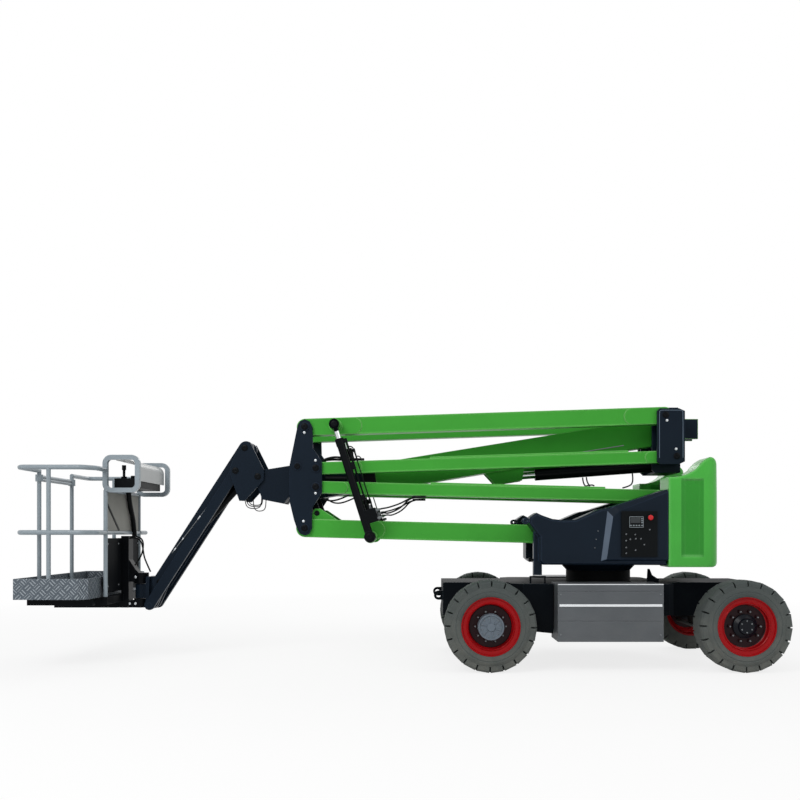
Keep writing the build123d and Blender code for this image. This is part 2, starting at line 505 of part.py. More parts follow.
KNUCKLE_BACK, KNUCKLE_FOOT = 2313, 1578
OUTER_CHEEK = [(2087, 1660), (2108, 1639), (2266, 1639), (KNUCKLE_BACK, 1660), (KNUCKLE_BACK, 2075), (2266, 2096),
               (2108, 2096), (2087, 2075)]
INNER_CHEEK = [(2078, 1600), (2100, KNUCKLE_FOOT), (KNUCKLE_BACK, KNUCKLE_FOOT), (KNUCKLE_BACK, 2100), (2292, 2121),
               (2100, 2121), (2078, 2100)]
BOOM_PIN_R, LIFT_PIN_R, LIFT_BOSS_R = 40, 25, 45

with BuildPart() as upper_knuckle:
    plate(OUTER_CHEEK, PLATE_IN, PLATE_OUT)
    plate(INNER_CHEEK, INNER_IN, INNER_OUT)
    # Back plates between the cheeks, and a floor under the lift cylinder.
    block((KNUCKLE_BACK - 12, KNUCKLE_BACK), (-PLATE_OUT, -INNER_IN), (1660, 2075))
    block((2120, KNUCKLE_BACK), (-INNER_IN, 0), (KNUCKLE_FOOT, KNUCKLE_FOOT + 14))
    for pin in (UPPER_LINK_HEAD, UPPER_ARM_HEAD):
        disc(pin, PIN_R - PIN_GAP, INNER_IN, PLATE_OUT)
    disc(BOOM_PIVOT, BOOM_PIN_R - PIN_GAP, BOOM_HALF_W - 40, INNER_OUT)
    disc(LIFT_FOOT, LIFT_PIN_R - PIN_GAP, 0, INNER_IN)
    disc(LIFT_FOOT, LIFT_BOSS_R, 50, INNER_IN)
    mirror(about=Plane.XZ)
save(upper_knuckle, "upper_knuckle")

RISER_GLAND, PIPE_RISE, PIPE_R = 832, 52, 7
CLAMPS = [(300, 42), (560, 60), (790, 30)]      # (distance from the foot, length)
FOOT_EYE_R, EYE_HALF_W = 46, 38


def on_riser_cylinder(distance, rise=0):
    """A point of the riser cylinder in side view, from its foot pin, and towards the turntable from its axis."""
    return along(RISER_CYL_FOOT, RISER_CYL_HEAD, distance, -rise)


with BuildPart() as riser_barrels:
    foot, top, inside = on_riser_cylinder(0), on_riser_cylinder(RISER_GLAND), on_riser_cylinder(120)
    rod((foot[0], -RISER_CYL_Y, foot[1]), (top[0], -RISER_CYL_Y, top[1]), RISER_BARREL_R)
    # Gland collar, foot eye, hydraulic pipe with its clamps, and the holding valve.
    collar = on_riser_cylinder(RISER_GLAND - 60)
    rod((collar[0], -RISER_CYL_Y, collar[1]), (top[0], -RISER_CYL_Y, top[1]), RISER_BARREL_R + 4)
    disc(RISER_CYL_FOOT, FOOT_EYE_R, RISER_CYL_Y - EYE_HALF_W, RISER_CYL_Y + EYE_HALF_W)
    low, high = on_riser_cylinder(200, PIPE_RISE), on_riser_cylinder(810, PIPE_RISE)
    rod((low[0], -RISER_CYL_Y, low[1]), (high[0], -RISER_CYL_Y, high[1]), PIPE_R)
    for distance, length in CLAMPS:
        beam(on_riser_cylinder(distance, 43), on_riser_cylinder(distance + length, 43), 36, RISER_CYL_Y - 14, RISER_CYL_Y + 14)
    beam(on_riser_cylinder(105, 62), on_riser_cylinder(215, 62), 96, RISER_CYL_Y - 34, RISER_CYL_Y + 30)
    rod((inside[0], -RISER_CYL_Y, inside[1]), (top[0], -RISER_CYL_Y, top[1]), RISER_ROD_R + 1, Mode.SUBTRACT)
    disc(RISER_CYL_FOOT, CYLINDER_PIN_R, RISER_CYL_Y - 60, RISER_CYL_Y + 60, Mode.SUBTRACT)
    mirror(about=Plane.XZ)
save(riser_barrels, "riser_barrels")

with BuildPart() as riser_rods:
    x, z = along(RISER_CYL_FOOT, RISER_CYL_HEAD, 150)
    rod((x, -RISER_CYL_Y, z), (RISER_CYL_HEAD[0], -RISER_CYL_Y, RISER_CYL_HEAD[1]), RISER_ROD_R)
    disc(RISER_CYL_HEAD, RISER_EYE_R, RISER_CYL_Y - 32, RISER_CYL_Y + 32)
    mirror(about=Plane.XZ)
save(riser_rods, "riser_rods")

# ---------------------------------------------------------------- boom
SLOPE = math.radians(BOOM_SLOPE)
BOOM_WAY = (BOOM_PIVOT[0] - math.cos(SLOPE), BOOM_PIVOT[1] - math.sin(SLOPE))


def on_boom(distance, rise=0):
    """A point of the boom in side view, from the pivot towards the basket, and above its centre line."""
    return along(BOOM_PIVOT, BOOM_WAY, distance, -rise)


with BuildPart() as main_boom:
    beam(on_boom(BOOM_TAIL), on_boom(BOOM_TIP), BOOM_H, 0, BOOM_HALF_W)
    beam(on_boom(180), on_boom(BOOM_TIP + 5), BOOM_H - 2 * BOOM_WALL, -1, BOOM_HALF_W - BOOM_WALL, Mode.SUBTRACT)
    beam(on_boom(BOOM_TIP - 110), on_boom(BOOM_TIP), BOOM_H + 24, BOOM_HALF_W, BOOM_HALF_W + 12)
    # Pivot tube out to the knuckle's inner plates.
    disc(BOOM_PIVOT, 70, BOOM_HALF_W, INNER_IN - 6)
    disc(BOOM_PIVOT, 40, -1, INNER_IN, Mode.SUBTRACT)
    # Bracket for the lift cylinder's eye.
    under = -BOOM_H / 2 + 3
    plate([on_boom(1255, under), on_boom(1295, -225), on_boom(1525, -225), on_boom(1600, under)], 66, 84)
    # Tail bracket.
    plate([(2340, 1871), (2494, 1871), (2494, 2039), (2340, 2039)], 66, 98)
    mirror(about=Plane.XZ)
save(main_boom, "main_boom")

HEAD_CHEEK_Y, KNEE_PIN_R = (60, 140), 30
HEAD_CHEEK = [(-951, 1642), (-1167, 1607), (-1270, 1590), (-1270, 1530), (-1230, 1478), (-1187, 1357), (-1006, 1321),
              (-951, 1400)]
HEAD_CORE = [(-951, 1642), (-1150, 1607), (-1160, 1400), (-1006, 1330), (-951, 1400)]

with BuildPart() as inner_boom:
    beam(on_boom(INNER_BACK), on_boom(3260), INNER_H, 0, INNER_HALF_W)
    beam(on_boom(INNER_BACK - 5), on_boom(3230), INNER_H - 2 * BOOM_WALL, -1, INNER_HALF_W - BOOM_WALL, Mode.SUBTRACT)
    plate(HEAD_CHEEK, *HEAD_CHEEK_Y)
    plate(HEAD_CORE, 0, HEAD_CHEEK_Y[0] + 1)
    disc(KNEE_PIVOT, KNEE_PIN_R, HEAD_CHEEK_Y[0] - 5, HEAD_CHEEK_Y[1] + 5, Mode.SUBTRACT)
    mirror(about=Plane.XZ)
save(inner_boom, "inner_boom")

with BuildPart() as lift_barrel:
    x, z = along(LIFT_FOOT, LIFT_EYE, 1058)
    rod((LIFT_FOOT[0], 0, LIFT_FOOT[1]), (x, 0, z), LIFT_BARREL_R)
    disc(LIFT_FOOT, 50, -44, 44)
    inside, top = along(LIFT_FOOT, LIFT_EYE, 150), along(LIFT_FOOT, LIFT_EYE, 1060)
    rod((inside[0], 0, inside[1]), (top[0], 0, top[1]), LIFT_ROD_R + 1, Mode.SUBTRACT)
    disc(LIFT_FOOT, 25, -60, 60, Mode.SUBTRACT)
save(lift_barrel, "lift_barrel")

with BuildPart() as lift_rod:
    x, z = along(LIFT_FOOT, LIFT_EYE, 200)
    rod((x, 0, z), (LIFT_EYE[0], 0, LIFT_EYE[1]), LIFT_ROD_R)
    disc(LIFT_EYE, 45, -50, 50)
save(lift_rod, "lift_rod")

# ---------------------------------------------------------------- knee and jib
KNEE_CHEEK = [(-1343, 1838), (-1285, 1838), (-1170, 1607), (-1170, 1520), (-1330, 1343), (-1375, 1345), (-1400, 1416),
              (-1452, 1570), (-1452, 1625), (-1385, 1790)]
JIB_ARM_PIN_R, JIB_LINK_PIN_R, JIB_CYL_BOSS_R, JIB_CYL_PIN_R = 25, 20, 24, 18
JIB_BARREL_R, JIB_EYE_R = 32, 28

with BuildPart() as knee_bracket:
    plate(KNEE_CHEEK, KNEE_IN, KNEE_OUT)
    disc(KNEE_PIVOT, KNEE_PIN_R - PIN_GAP, 55, KNEE_IN)
    disc(JIB_ARM_PIN, JIB_ARM_PIN_R - PIN_GAP, 0, KNEE_IN)
    disc(JIB_LINK_PIN, JIB_LINK_PIN_R - PIN_GAP, JIB_LINK_IN - 3, KNEE_IN)
    disc(JIB_CYL_KNEE, JIB_CYL_BOSS_R, 36, KNEE_IN)
    mirror(about=Plane.XZ)
save(knee_bracket, "knee_bracket")


def on_jib(distance, rise=0):
    """A point of the jib arm in side view, from its upper pin, and above its centre line."""
    return along(JIB_ARM_PIN, JIB_ARM_END, distance, -rise)


JIB_LENGTH = math.dist(JIB_ARM_PIN, JIB_ARM_END)
with BuildPart() as jib_arm:
    bar(JIB_ARM_PIN, JIB_ARM_END, JIB_ARM_H, JIB_ARM_IN, JIB_ARM_OUT)
    beam(on_jib(90, 56), on_jib(JIB_LENGTH - 90, 56), 12, 0, JIB_ARM_IN)
    beam(on_jib(560, 56), on_jib(1080, 56), 20, -1, 45, Mode.SUBTRACT)
    disc(on_jib(JIB_CYL_ALONG, JIB_CYL_RISE), JIB_CYL_PIN_R, 0, JIB_ARM_IN)
    for pin in (JIB_ARM_PIN, JIB_ARM_END):
        disc(pin, JIB_ARM_PIN_R, JIB_ARM_IN - 1, JIB_ARM_OUT + 1, Mode.SUBTRACT)
    mirror(about=Plane.XZ)
save(jib_arm, "jib_arm")

with BuildPart() as jib_link:
    bar(JIB_LINK_PIN, JIB_LINK_END, JIB_LINK_H, JIB_LINK_IN, JIB_LINK_OUT)
    for pin in (JIB_LINK_PIN, JIB_LINK_END):
        disc(pin, JIB_LINK_PIN_R, JIB_LINK_IN - 1, JIB_LINK_OUT + 1, Mode.SUBTRACT)
    mirror(about=Plane.XZ)
save(jib_link, "jib_link")

JIB_CYL_FOOT = on_jib(JIB_CYL_ALONG, JIB_CYL_RISE)
with BuildPart() as jib_barrel:
    x, z = along(JIB_CYL_FOOT, JIB_CYL_KNEE, 690)
    rod((JIB_CYL_FOOT[0], 0, JIB_CYL_FOOT[1]), (x, 0, z), JIB_BARREL_R)
    disc(JIB_CYL_FOOT, JIB_EYE_R, -JIB_BARREL_R, JIB_BARREL_R)
    inside, top = along(JIB_CYL_FOOT, JIB_CYL_KNEE, 80), along(JIB_CYL_FOOT, JIB_CYL_KNEE, 692)
    rod((inside[0], 0, inside[1]), (top[0], 0, top[1]), 19, Mode.SUBTRACT)
    disc(JIB_CYL_FOOT, JIB_CYL_PIN_R + PIN_GAP, -40, 40, Mode.SUBTRACT)
save(jib_barrel, "jib_barrel")

with BuildPart() as jib_rod:
    x, z = along(JIB_CYL_FOOT, JIB_CYL_KNEE, 110)
    rod((x, 0, z), (JIB_CYL_KNEE[0], 0, JIB_CYL_KNEE[1]), 18)
    disc(JIB_CYL_KNEE, JIB_EYE_R, -30, 30)
save(jib_rod, "jib_rod")

# ---------------------------------------------------------------- platform
LUG_BACK, LUG_Z, LUG_Y = -2178, (430, 704), (24, 56)
LUG = [(-2013, 640), (-2013, 677), (-2040, LUG_Z[1]), (LUG_BACK, LUG_Z[1]), (LUG_BACK, LUG_Z[0]), (-2130, LUG_Z[0]),
       (-2095, 455)]
TURN_BOSS_Z, TURN_BOSS_R = (520, 640), 50

with BuildPart() as platform_bracket:
    # Two lugs inboard of the jib's members, with stub pins out to them, on a plate that carries the turning boss.
    plate(LUG, *LUG_Y)
    block((LUG_BACK, LUG_BACK + 28), (-100, 0), LUG_Z)
    disc(JIB_ARM_END, JIB_ARM_PIN_R - PIN_GAP, LUG_Y[0], JIB_ARM_OUT)
    disc(JIB_LINK_END, JIB_LINK_PIN_R - PIN_GAP, LUG_Y[0], JIB_LINK_OUT)
    block((TURN_X, LUG_BACK), (-45, 0), TURN_BOSS_Z)
    mirror(about=Plane.XZ)
    rod((TURN_X, 0, TURN_BOSS_Z[0]), (TURN_X, 0, TURN_BOSS_Z[1]), TURN_BOSS_R)
save(platform_bracket, "platform_bracket")

MOUNT_HALF, BEAM_Z, MAST_X, MAST_TOP = 50, (440, 500), (-2400.5, -2336), 1050
ROTATOR_R, ROTATOR_TOP, BEARER_Z, BEARER_X = 62, 735, (500, FLOOR_Z), (-2970, -2434)
LOW_PANEL_Z, EDGE_BAR_X = (588, 1032), -2412
PANEL_X, PANEL_HALF, CROSS_TUBE_R = (-2405, -2401), LOOP_Y - POST_R, 15

with BuildPart() as platform_mount:
    # Rotator housing above and below the bracket, and the arms back to the mast.
    rod((TURN_X, 0, BEAM_Z[0]), (TURN_X, 0, TURN_BOSS_Z[0] - 5), ROTATOR_R)
    rod((TURN_X, 0, TURN_BOSS_Z[1] + 5), (TURN_X, 0, ROTATOR_TOP), ROTATOR_R)
    block((BEARER_X[1], TURN_X), (-MOUNT_HALF, MOUNT_HALF), BEAM_Z)
    plate([(MAST_X[1] - 1, 660), (TURN_X, 660), (TURN_X, 725), (TURN_X - 40, 770), (MAST_X[1] - 1, 850)],
          -MOUNT_HALF, MOUNT_HALF)
    block(MAST_X, (-60, 60), (BEAM_Z[0], MAST_TOP))
    # Cross-beams and bearers under the floor.
    block((BEARER_X[1], BEARER_X[1] + 54), (-470, 470), (BEARER_Z[0] - 3, FLOOR_Z))
    block(BEARER_X, (-60, 60), (BEAM_Z[0], 520))
    for y in ((-600, -540), (540, 600)):
        block((BEARER_X[0], BASKET_X1 - 10), y, BEARER_Z)
    block((-2790, -2710), (-600, 600), BEARER_Z)
save(platform_mount, "platform_mount")

with BuildPart() as platform_floor:
    with BuildSketch(Plane.XY.offset(FLOOR_Z)):
        Polygon((BASKET_X0, -BASKET_Y), (BASKET_X1 - 60, -BASKET_Y), (BASKET_X1, -BASKET_Y + 60),
                (BASKET_X1, BASKET_Y - 60), (BASKET_X1 - 60, BASKET_Y), (BASKET_X0, BASKET_Y), align=None)
    extrude(amount=TOE_Z - FLOOR_Z)
    offset(amount=-4, openings=faces().sort_by(Axis.Z)[-1])
save(platform_floor, "platform_floor")

with BuildPart() as rear_panels:
    # A grey sheet above the mid rail and a black one below it, under a stiff edge bar.
    block(PANEL_X, (-PANEL_HALF, PANEL_HALF), (MID_RAIL_Z + CROSS_TUBE_R, LOOP_Z[0] - CROSS_TUBE_R))
    block(PANEL_X, (-PANEL_HALF, PANEL_HALF), LOW_PANEL_Z)
    for z in ((LOW_PANEL_Z[1] - 24, LOW_PANEL_Z[1]), (LOW_PANEL_Z[0], LOW_PANEL_Z[0] + 18)):
        block((EDGE_BAR_X, PANEL_X[0]), (-PANEL_HALF, PANEL_HALF), z)
save(rear_panels, "rear_panels")

RAIL_X0, RAIL_X1, RAIL_Y, GATE_Y = -2976, -2403, 758, 350
with BuildPart() as platform_rails:
    for z in (MID_RAIL_Z, TOP_RAIL_Z):
        # From the gate round the near side to the console's loop.
        with BuildLine() as way:
            FilletPolyline((RAIL_X0, -GATE_Y, z), (RAIL_X0, -RAIL_Y, z), (-2480, -RAIL_Y, z),
                           (RAIL_X1, -RAIL_Y + 110, z), (RAIL_X1, -LOOP_Y - LOOP_TUBE, z), radius=60)
        with BuildSketch(Plane(origin=(RAIL_X0, -GATE_Y, z), z_dir=(0, -1, 0))) as section:
            Circle(RAIL_R)
        sweep(section.sketch, path=way.line)
    for x, y in ((-2734, -RAIL_Y), (RAIL_X0, -GATE_Y)):
        rod((x, y, FLOOR_Z + 4), (x, y, TOP_RAIL_Z), POST_R)
    mirror(about=Plane.XZ)
save(platform_rails, "platform_rails")

GATE_Z, GATE_BAR_R, COLLAR_R, COLLAR_H = 1524, 14, 30, 56

with BuildPart() as gate_bar:
    # Twin bars between two collars that slide on the gate's posts.
    for rise in (-13, 13):
        rod((RAIL_X0, -GATE_Y + 22, GATE_Z + rise), (RAIL_X0, GATE_Y - 22, GATE_Z + rise), GATE_BAR_R)
    for y in (-GATE_Y, GATE_Y):
        rod((RAIL_X0, y, GATE_Z - COLLAR_H / 2), (RAIL_X0, y, GATE_Z + COLLAR_H / 2), COLLAR_R)
    for y in (-GATE_Y, GATE_Y):
        rod((RAIL_X0, y, GATE_Z - COLLAR_H), (RAIL_X0, y, GATE_Z + COLLAR_H), POST_R + 2, Mode.SUBTRACT)
save(gate_bar, "gate_bar")

with BuildPart() as console_loops:
    middle = ((LOOP_X[0] + LOOP_X[1]) / 2, (LOOP_Z[0] + LOOP_Z[1]) / 2)
    for y in (-LOOP_Y, LOOP_Y):
        with BuildSketch(Plane.XZ.offset(-y)) as loop:
            with Locations(middle):
                for size, mode in ((LOOP_TUBE, Mode.ADD), (-LOOP_TUBE, Mode.SUBTRACT)):
                    RectangleRounded(LOOP_X[1] - LOOP_X[0] + 2 * size, LOOP_Z[1] - LOOP_Z[0] + 2 * size,
                                     LOOP_CORNER + (size - LOOP_TUBE), mode=mode)
        extrude(loop.sketch, amount=LOOP_TUBE, both=True)
        rod((LOOP_X[0], y, FLOOR_Z), (LOOP_X[0], y, LOOP_Z[0]), POST_R)
    # Cross-tubes under the console and at the mid rail's height.
    for z in (LOOP_Z[0], MID_RAIL_Z):
        rod((LOOP_X[0], -LOOP_Y, z), (LOOP_X[0], LOOP_Y, z), CROSS_TUBE_R)
save(console_loops, "console_loops")

CONSOLE_X, CONSOLE_HALF, CONSOLE_Z = (-2374, -2174), 310, (1445, 1525)
CONTROL_Y = -200
# Turned controls on the console: (x, lowest z, highest z, radius).
CONTROLS = [(-2330, 1524, 1545, 24), (-2330, 1540, 1640, 11), (-2330, 1600, 1640, 17), (-2255, 1524, 1552, 18)]

with BuildPart() as platform_console:
    block(CONSOLE_X, (-CONSOLE_HALF, CONSOLE_HALF), CONSOLE_Z)
    # Joystick with its boot and knob, and the stop button.
    for x, low, high, radius in CONTROLS:
        rod((x, CONTROL_Y, low), (x, CONTROL_Y, high), radius)
save(platform_console, "platform_console")

SHELL_X, SHELL_Z, SHELL_BEND, SHELL_WALL, SHELL_HALF = (-2330, -2165), (1503, 1668), 65, 4, 400

with BuildPart() as console_cover:
    # A sheet bent once, open towards the basket and below.
    bend_x, bend_z = SHELL_X[1] - SHELL_BEND, SHELL_Z[1] - SHELL_BEND
    inner_x, inner_z = SHELL_X[1] - SHELL_WALL, SHELL_Z[1] - SHELL_WALL
    with BuildSketch(Plane.XZ.offset(-SHELL_HALF)):
        with BuildLine():
            Line((SHELL_X[0], SHELL_Z[1]), (bend_x, SHELL_Z[1]))
            RadiusArc((bend_x, SHELL_Z[1]), (SHELL_X[1], bend_z), SHELL_BEND)
            Line((SHELL_X[1], bend_z), (SHELL_X[1], SHELL_Z[0]))
            Line((SHELL_X[1], SHELL_Z[0]), (inner_x, SHELL_Z[0]))
            Line((inner_x, SHELL_Z[0]), (inner_x, bend_z))
            RadiusArc((inner_x, bend_z), (bend_x, inner_z), SHELL_WALL - SHELL_BEND)
            Line((bend_x, inner_z), (SHELL_X[0], inner_z))
            Line((SHELL_X[0], inner_z), (SHELL_X[0], SHELL_Z[1]))
        make_face()
    extrude(amount=2 * SHELL_HALF)
save(console_cover, "console_cover")
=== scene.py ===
import json
import math

import bpy
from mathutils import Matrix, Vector


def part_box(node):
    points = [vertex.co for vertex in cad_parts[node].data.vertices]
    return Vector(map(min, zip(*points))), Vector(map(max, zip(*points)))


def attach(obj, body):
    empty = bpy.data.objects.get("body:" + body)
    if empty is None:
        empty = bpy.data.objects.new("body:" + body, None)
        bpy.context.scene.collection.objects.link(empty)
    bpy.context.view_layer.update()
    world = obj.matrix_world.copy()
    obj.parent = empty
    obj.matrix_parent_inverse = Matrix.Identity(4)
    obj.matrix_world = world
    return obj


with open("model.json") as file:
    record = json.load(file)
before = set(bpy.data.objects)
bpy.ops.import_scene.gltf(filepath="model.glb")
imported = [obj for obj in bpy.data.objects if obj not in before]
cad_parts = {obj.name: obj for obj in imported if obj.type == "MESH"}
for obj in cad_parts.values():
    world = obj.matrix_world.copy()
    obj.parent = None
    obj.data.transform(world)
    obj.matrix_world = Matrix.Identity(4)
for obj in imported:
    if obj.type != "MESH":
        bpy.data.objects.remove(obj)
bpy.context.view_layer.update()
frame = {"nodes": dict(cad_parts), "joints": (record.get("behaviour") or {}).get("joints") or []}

# ---------------------------------------------------------------- studio
# A wide matt floor and a plain pale room: a soft key lamp above the near side, a weaker fill, a lamp behind,
# and an even sky. The floor keeps the shadow, and the sky behind it shows plain white.
WHITE = (1.0, 1.0, 1.0, 1.0)
FLOOR_WIDTH, FLOOR_DROP, LAMP_WIDTH = 80, 0.0005, 4.0
# (name, place, aimed at, watts)
LAMPS = (("key_lamp", (-3.5, -6.5, 6.5), (0, 0, 1.0), 330),
         ("fill_lamp", (6.0, -4.0, 4.5), (0.5, 0, 1.0), 80),
         ("back_lamp", (0.5, 6.5, 5.5), (0, 0, 1.2), 160))
# The camera looks square at the near side; its shift is in widths of the picture.
CAMERA_PLACE, CAMERA_LENS, FILM_WIDTH = (0.15, -7.85, 1.066), 41.22, 36.0
SHIFT_SIDE, SHIFT_UP = -0.02625, 0.1675


def linear(code):
    """An sRGB hex colour as linear RGBA."""
    channels = [int(code[i:i + 2], 16) / 255 for i in (1, 3, 5)]
    return tuple(c / 12.92 if c <= 0.04045 else ((c + 0.055) / 1.055) ** 2.4 for c in channels) + (1.0,)


def put(tree, kind, settings=(), links=()):
    """Adds one shader node; settings are (name or socket, value), links are (socket, node, its output)."""
    node = tree.nodes.new(kind)
    for key, value in settings:
        if isinstance(key, str) and hasattr(node, key):
            setattr(node, key, value)
        else:
            node.inputs[key].default_value = value
    for key, source, output in links:
        tree.links.new(source.outputs[output], node.inputs[key])
    return node


def unlit(tree):
    """How far a ray should meet plain white: seen straight, mirrored or through glass."""
    seen = put(tree, "ShaderNodeLightPath")
    straight = put(tree, "ShaderNodeMath", [("operation", "MAXIMUM")],
                   [(0, seen, "Is Camera Ray"), (1, seen, "Is Transmission Ray")])
    return put(tree, "ShaderNodeMath", [("operation", "MAXIMUM")],
               [(0, straight, 0), (1, seen, "Is Glossy Ray")])


# Matt white paint on a smooth floor, which fades into the sky three to nine metres out.
floor_paint = bpy.data.materials.new("matt_white_studio_floor")
floor_paint.use_nodes = True
tree = floor_paint.node_tree
tree.nodes.clear()
where = put(tree, "ShaderNodeTexCoord")
away = put(tree, "ShaderNodeVectorMath", [("operation", "LENGTH")], [(0, where, "Object")])
reach = put(tree, "ShaderNodeMapRange",
            [("From Min", 3.0), ("From Max", 9.0), ("To Min", 0.8), ("To Max", 1.0)],
            [("Value", away, "Value")])
share = put(tree, "ShaderNodeMath", [("operation", "MULTIPLY")], [(0, unlit(tree), 0), (1, reach, 0)])
matt = put(tree, "ShaderNodeBsdfDiffuse", [("Color", linear("#F6F6F6"))])
plain = put(tree, "ShaderNodeEmission", [("Color", WHITE), ("Strength", 1.0)])
mixed = put(tree, "ShaderNodeMixShader", [], [(0, share, 0), (1, matt, 0), (2, plain, 0)])
put(tree, "ShaderNodeOutputMaterial", [], [("Surface", mixed, 0)])

bpy.ops.object.select_all(action="DESELECT")
bpy.ops.mesh.primitive_plane_add(size=FLOOR_WIDTH, location=(0, 0, -FLOOR_DROP))
studio_floor = bpy.context.object
studio_floor.name = "studio_floor"
studio_floor.data.materials.append(floor_paint)

world = bpy.data.worlds.new("even_sky")
bpy.context.scene.world = world
world.use_nodes = True
tree = world.node_tree
tree.nodes.clear()
sky = put(tree, "ShaderNodeBackground", [("Color", WHITE), ("Strength", 0.5)])
white = put(tree, "ShaderNodeBackground", [("Color", WHITE), ("Strength", 1.0)])
mixed = put(tree, "ShaderNodeMixShader", [], [(0, unlit(tree), 0), (1, sky, 0), (2, white, 0)])
put(tree, "ShaderNodeOutputWorld", [], [("Surface", mixed, 0)])

for name, place, aim, watts in LAMPS:
    lamp = bpy.data.lights.new(name, "AREA")
    lamp.size = LAMP_WIDTH
    lamp.energy = watts
    lamp_object = bpy.data.objects.new(name, lamp)
    bpy.context.collection.objects.link(lamp_object)
    lamp_object.location = place
    lamp_object.rotation_euler = (Vector(aim) - Vector(place)).to_track_quat("-Z", "Y").to_euler()

camera = bpy.data.cameras.new("side_camera")
camera.lens = CAMERA_LENS
camera.sensor_width = FILM_WIDTH
camera.shift_x = SHIFT_SIDE
camera.shift_y = SHIFT_UP
camera_object = bpy.data.objects.new("side_camera", camera)
bpy.context.collection.objects.link(camera_object)
camera_object.location = CAMERA_PLACE
camera_object.rotation_euler = (math.radians(90), 0, 0)
bpy.context.scene.camera = camera_object
bpy.context.scene.view_settings.view_transform = "Standard"

# ---------------------------------------------------------------- chassis
# Welded steel box with outriggers round the battery boxes, shot-blasted and sprayed with dark slate enamel.
# The slewing ring is bolted on top; the axles and the steering knuckles are ribbed castings.


def feed(socket, shade):
    """Settings and links that bring a shade to a socket: a plain colour is set, a node's output is linked."""
    if isinstance(shade[0], float):
        return [(socket, shade)], []
    return [], [(socket, *shade)]


def lay(tree, shade, amount, colour):
    """Lays a colour over a shade by an amount, and returns the new shade: a node and its output."""
    settings, links = feed(6, shade)
    mix = put(tree, "ShaderNodeMix", [("data_type", "RGBA"), (7, linear(colour))] + settings,
              [(0, amount, 0)] + links)
    return mix, 2


def finish(name, colour, roughness, metallic=0.0, spread=0.06, grain=0.004, depth=0.05, edge=0.004, coat=0.0,
           dusty=0.0, wear_and_highlight="", shine=0.2, zones=()):
    """A sprayed, cast or moulded surface: uneven colour, dust low down, edges lighter with rubbed wear and a
    painted highlight, and orange peel or grain of so many metres, drawn coarser where the real one is too
    fine to show. The edge is the radius that the light sees, and the shine how strongly the surface mirrors,
    low where it has dulled. Zones are (function giving a 0 to 1 mask, colour) laid over the base; some of
    them are painted shade or painted highlight."""
    made = bpy.data.materials.new(name)
    made.use_nodes = True
    tree = made.node_tree
    tree.nodes.clear()
    where = put(tree, "ShaderNodeTexCoord")
    patches = put(tree, "ShaderNodeTexNoise", [("Scale", 2.2), ("Detail", 4.0), ("Roughness", 0.6)],
                  [("Vector", where, "Object")])
    shade = linear(colour)
    for mask, over in zones:
        shade = lay(tree, shade, mask(tree, where), over)
    uneven = put(tree, "ShaderNodeMapRange",
                 [("From Min", 0.3), ("From Max", 0.7), ("To Min", 1 - spread), ("To Max", 1 + spread)],
                 [("Value", patches, "Fac")])
    settings, links = feed("Color", shade)
    shade = put(tree, "ShaderNodeHueSaturation", settings, links + [("Value", uneven, 0)]), 0
    if dusty:
        # Dust settles low on the machine, up to 0.8 m.
        height = put(tree, "ShaderNodeSeparateXYZ", [], [("Vector", where, "Object")])
        low = put(tree, "ShaderNodeMapRange",
                  [("From Min", 0.0), ("From Max", 0.8), ("To Min", dusty), ("To Max", 0.0)],
                  [("Value", height, "Z")])
        spots = put(tree, "ShaderNodeTexNoise", [("Scale", 9.0), ("Detail", 6.0)],
                    [("Vector", where, "Object")])
        amount = put(tree, "ShaderNodeMath", [("operation", "MULTIPLY")], [(0, low, 0), (1, spots, "Fac")])
        shade = lay(tree, shade, amount, "#8D8A80")
    rounded = put(tree, "ShaderNodeBevel", [("samples", 6), ("Radius", edge)])
    if wear_and_highlight:
        # An edge is where the rounded surface turns away from the flat one; it is painted lighter, as rubbed
        # wear and as a painted highlight.
        flat = put(tree, "ShaderNodeNewGeometry")
        bend = put(tree, "ShaderNodeVectorMath", [("operation", "DOT_PRODUCT")],
                   [(0, rounded, "Normal"), (1, flat, "Normal")])
        rubbed_and_highlit = put(tree, "ShaderNodeMapRange",
                     [("From Min", 0.99), ("From Max", 0.82), ("To Min", 0.0), ("To Max", 0.8)],
                     [("Value", bend, "Value")])
        shade = lay(tree, shade, rubbed_and_highlit, wear_and_highlight)
    peel = put(tree, "ShaderNodeTexNoise", [("Scale", 1 / grain), ("Detail", 2.0)],
               [("Vector", where, "Object")])
    rough = put(tree, "ShaderNodeMapRange",
                [("To Min", max(0.02, roughness - 0.06)), ("To Max", roughness + 0.08)],
                [("Value", patches, "Fac")])
    bump = put(tree, "ShaderNodeBump", [("Strength", depth), ("Distance", 0.001)],
               [("Height", peel, "Fac"), ("Normal", rounded, "Normal")])
    shader = put(tree, "ShaderNodeBsdfPrincipled",
                 [("Metallic", metallic), ("Coat Weight", coat), ("Coat Roughness", 0.08),
                  ("Specular IOR Level", shine)],
                 [("Base Color", *shade), ("Roughness", rough, 0), ("Normal", bump, 0)])
    put(tree, "ShaderNodeOutputMaterial", [], [("Surface", shader, 0)])
    return made


def dress(material, *names):
    """A CAD node takes a better finish in its own material slots."""
    for name in names:
        mesh = frame["nodes"][name].data
        if mesh.materials:
            for index in range(len(mesh.materials)):
                mesh.materials[index] = material
        else:
            mesh.materials.append(material)


# Sprayed satin enamel over blasted plate: near black with a blue cast, pale along the edges with rubbed wear
# and a painted highlight.
slate_enamel = finish("slate_satin_enamel", "#131D28", 0.36, spread=0.10, shine=0.07, wear_and_highlight="#36445A")
# The same enamel low on the chassis has gone nearly black and matt, with a little dust; its edges are paler
# with rubbed wear and a painted highlight.
chassis_enamel = finish("dark_slate_chassis_enamel", "#0B1015", 0.5, spread=0.12, shine=0.02, dusty=0.04,
                        wear_and_highlight="#2C3741")
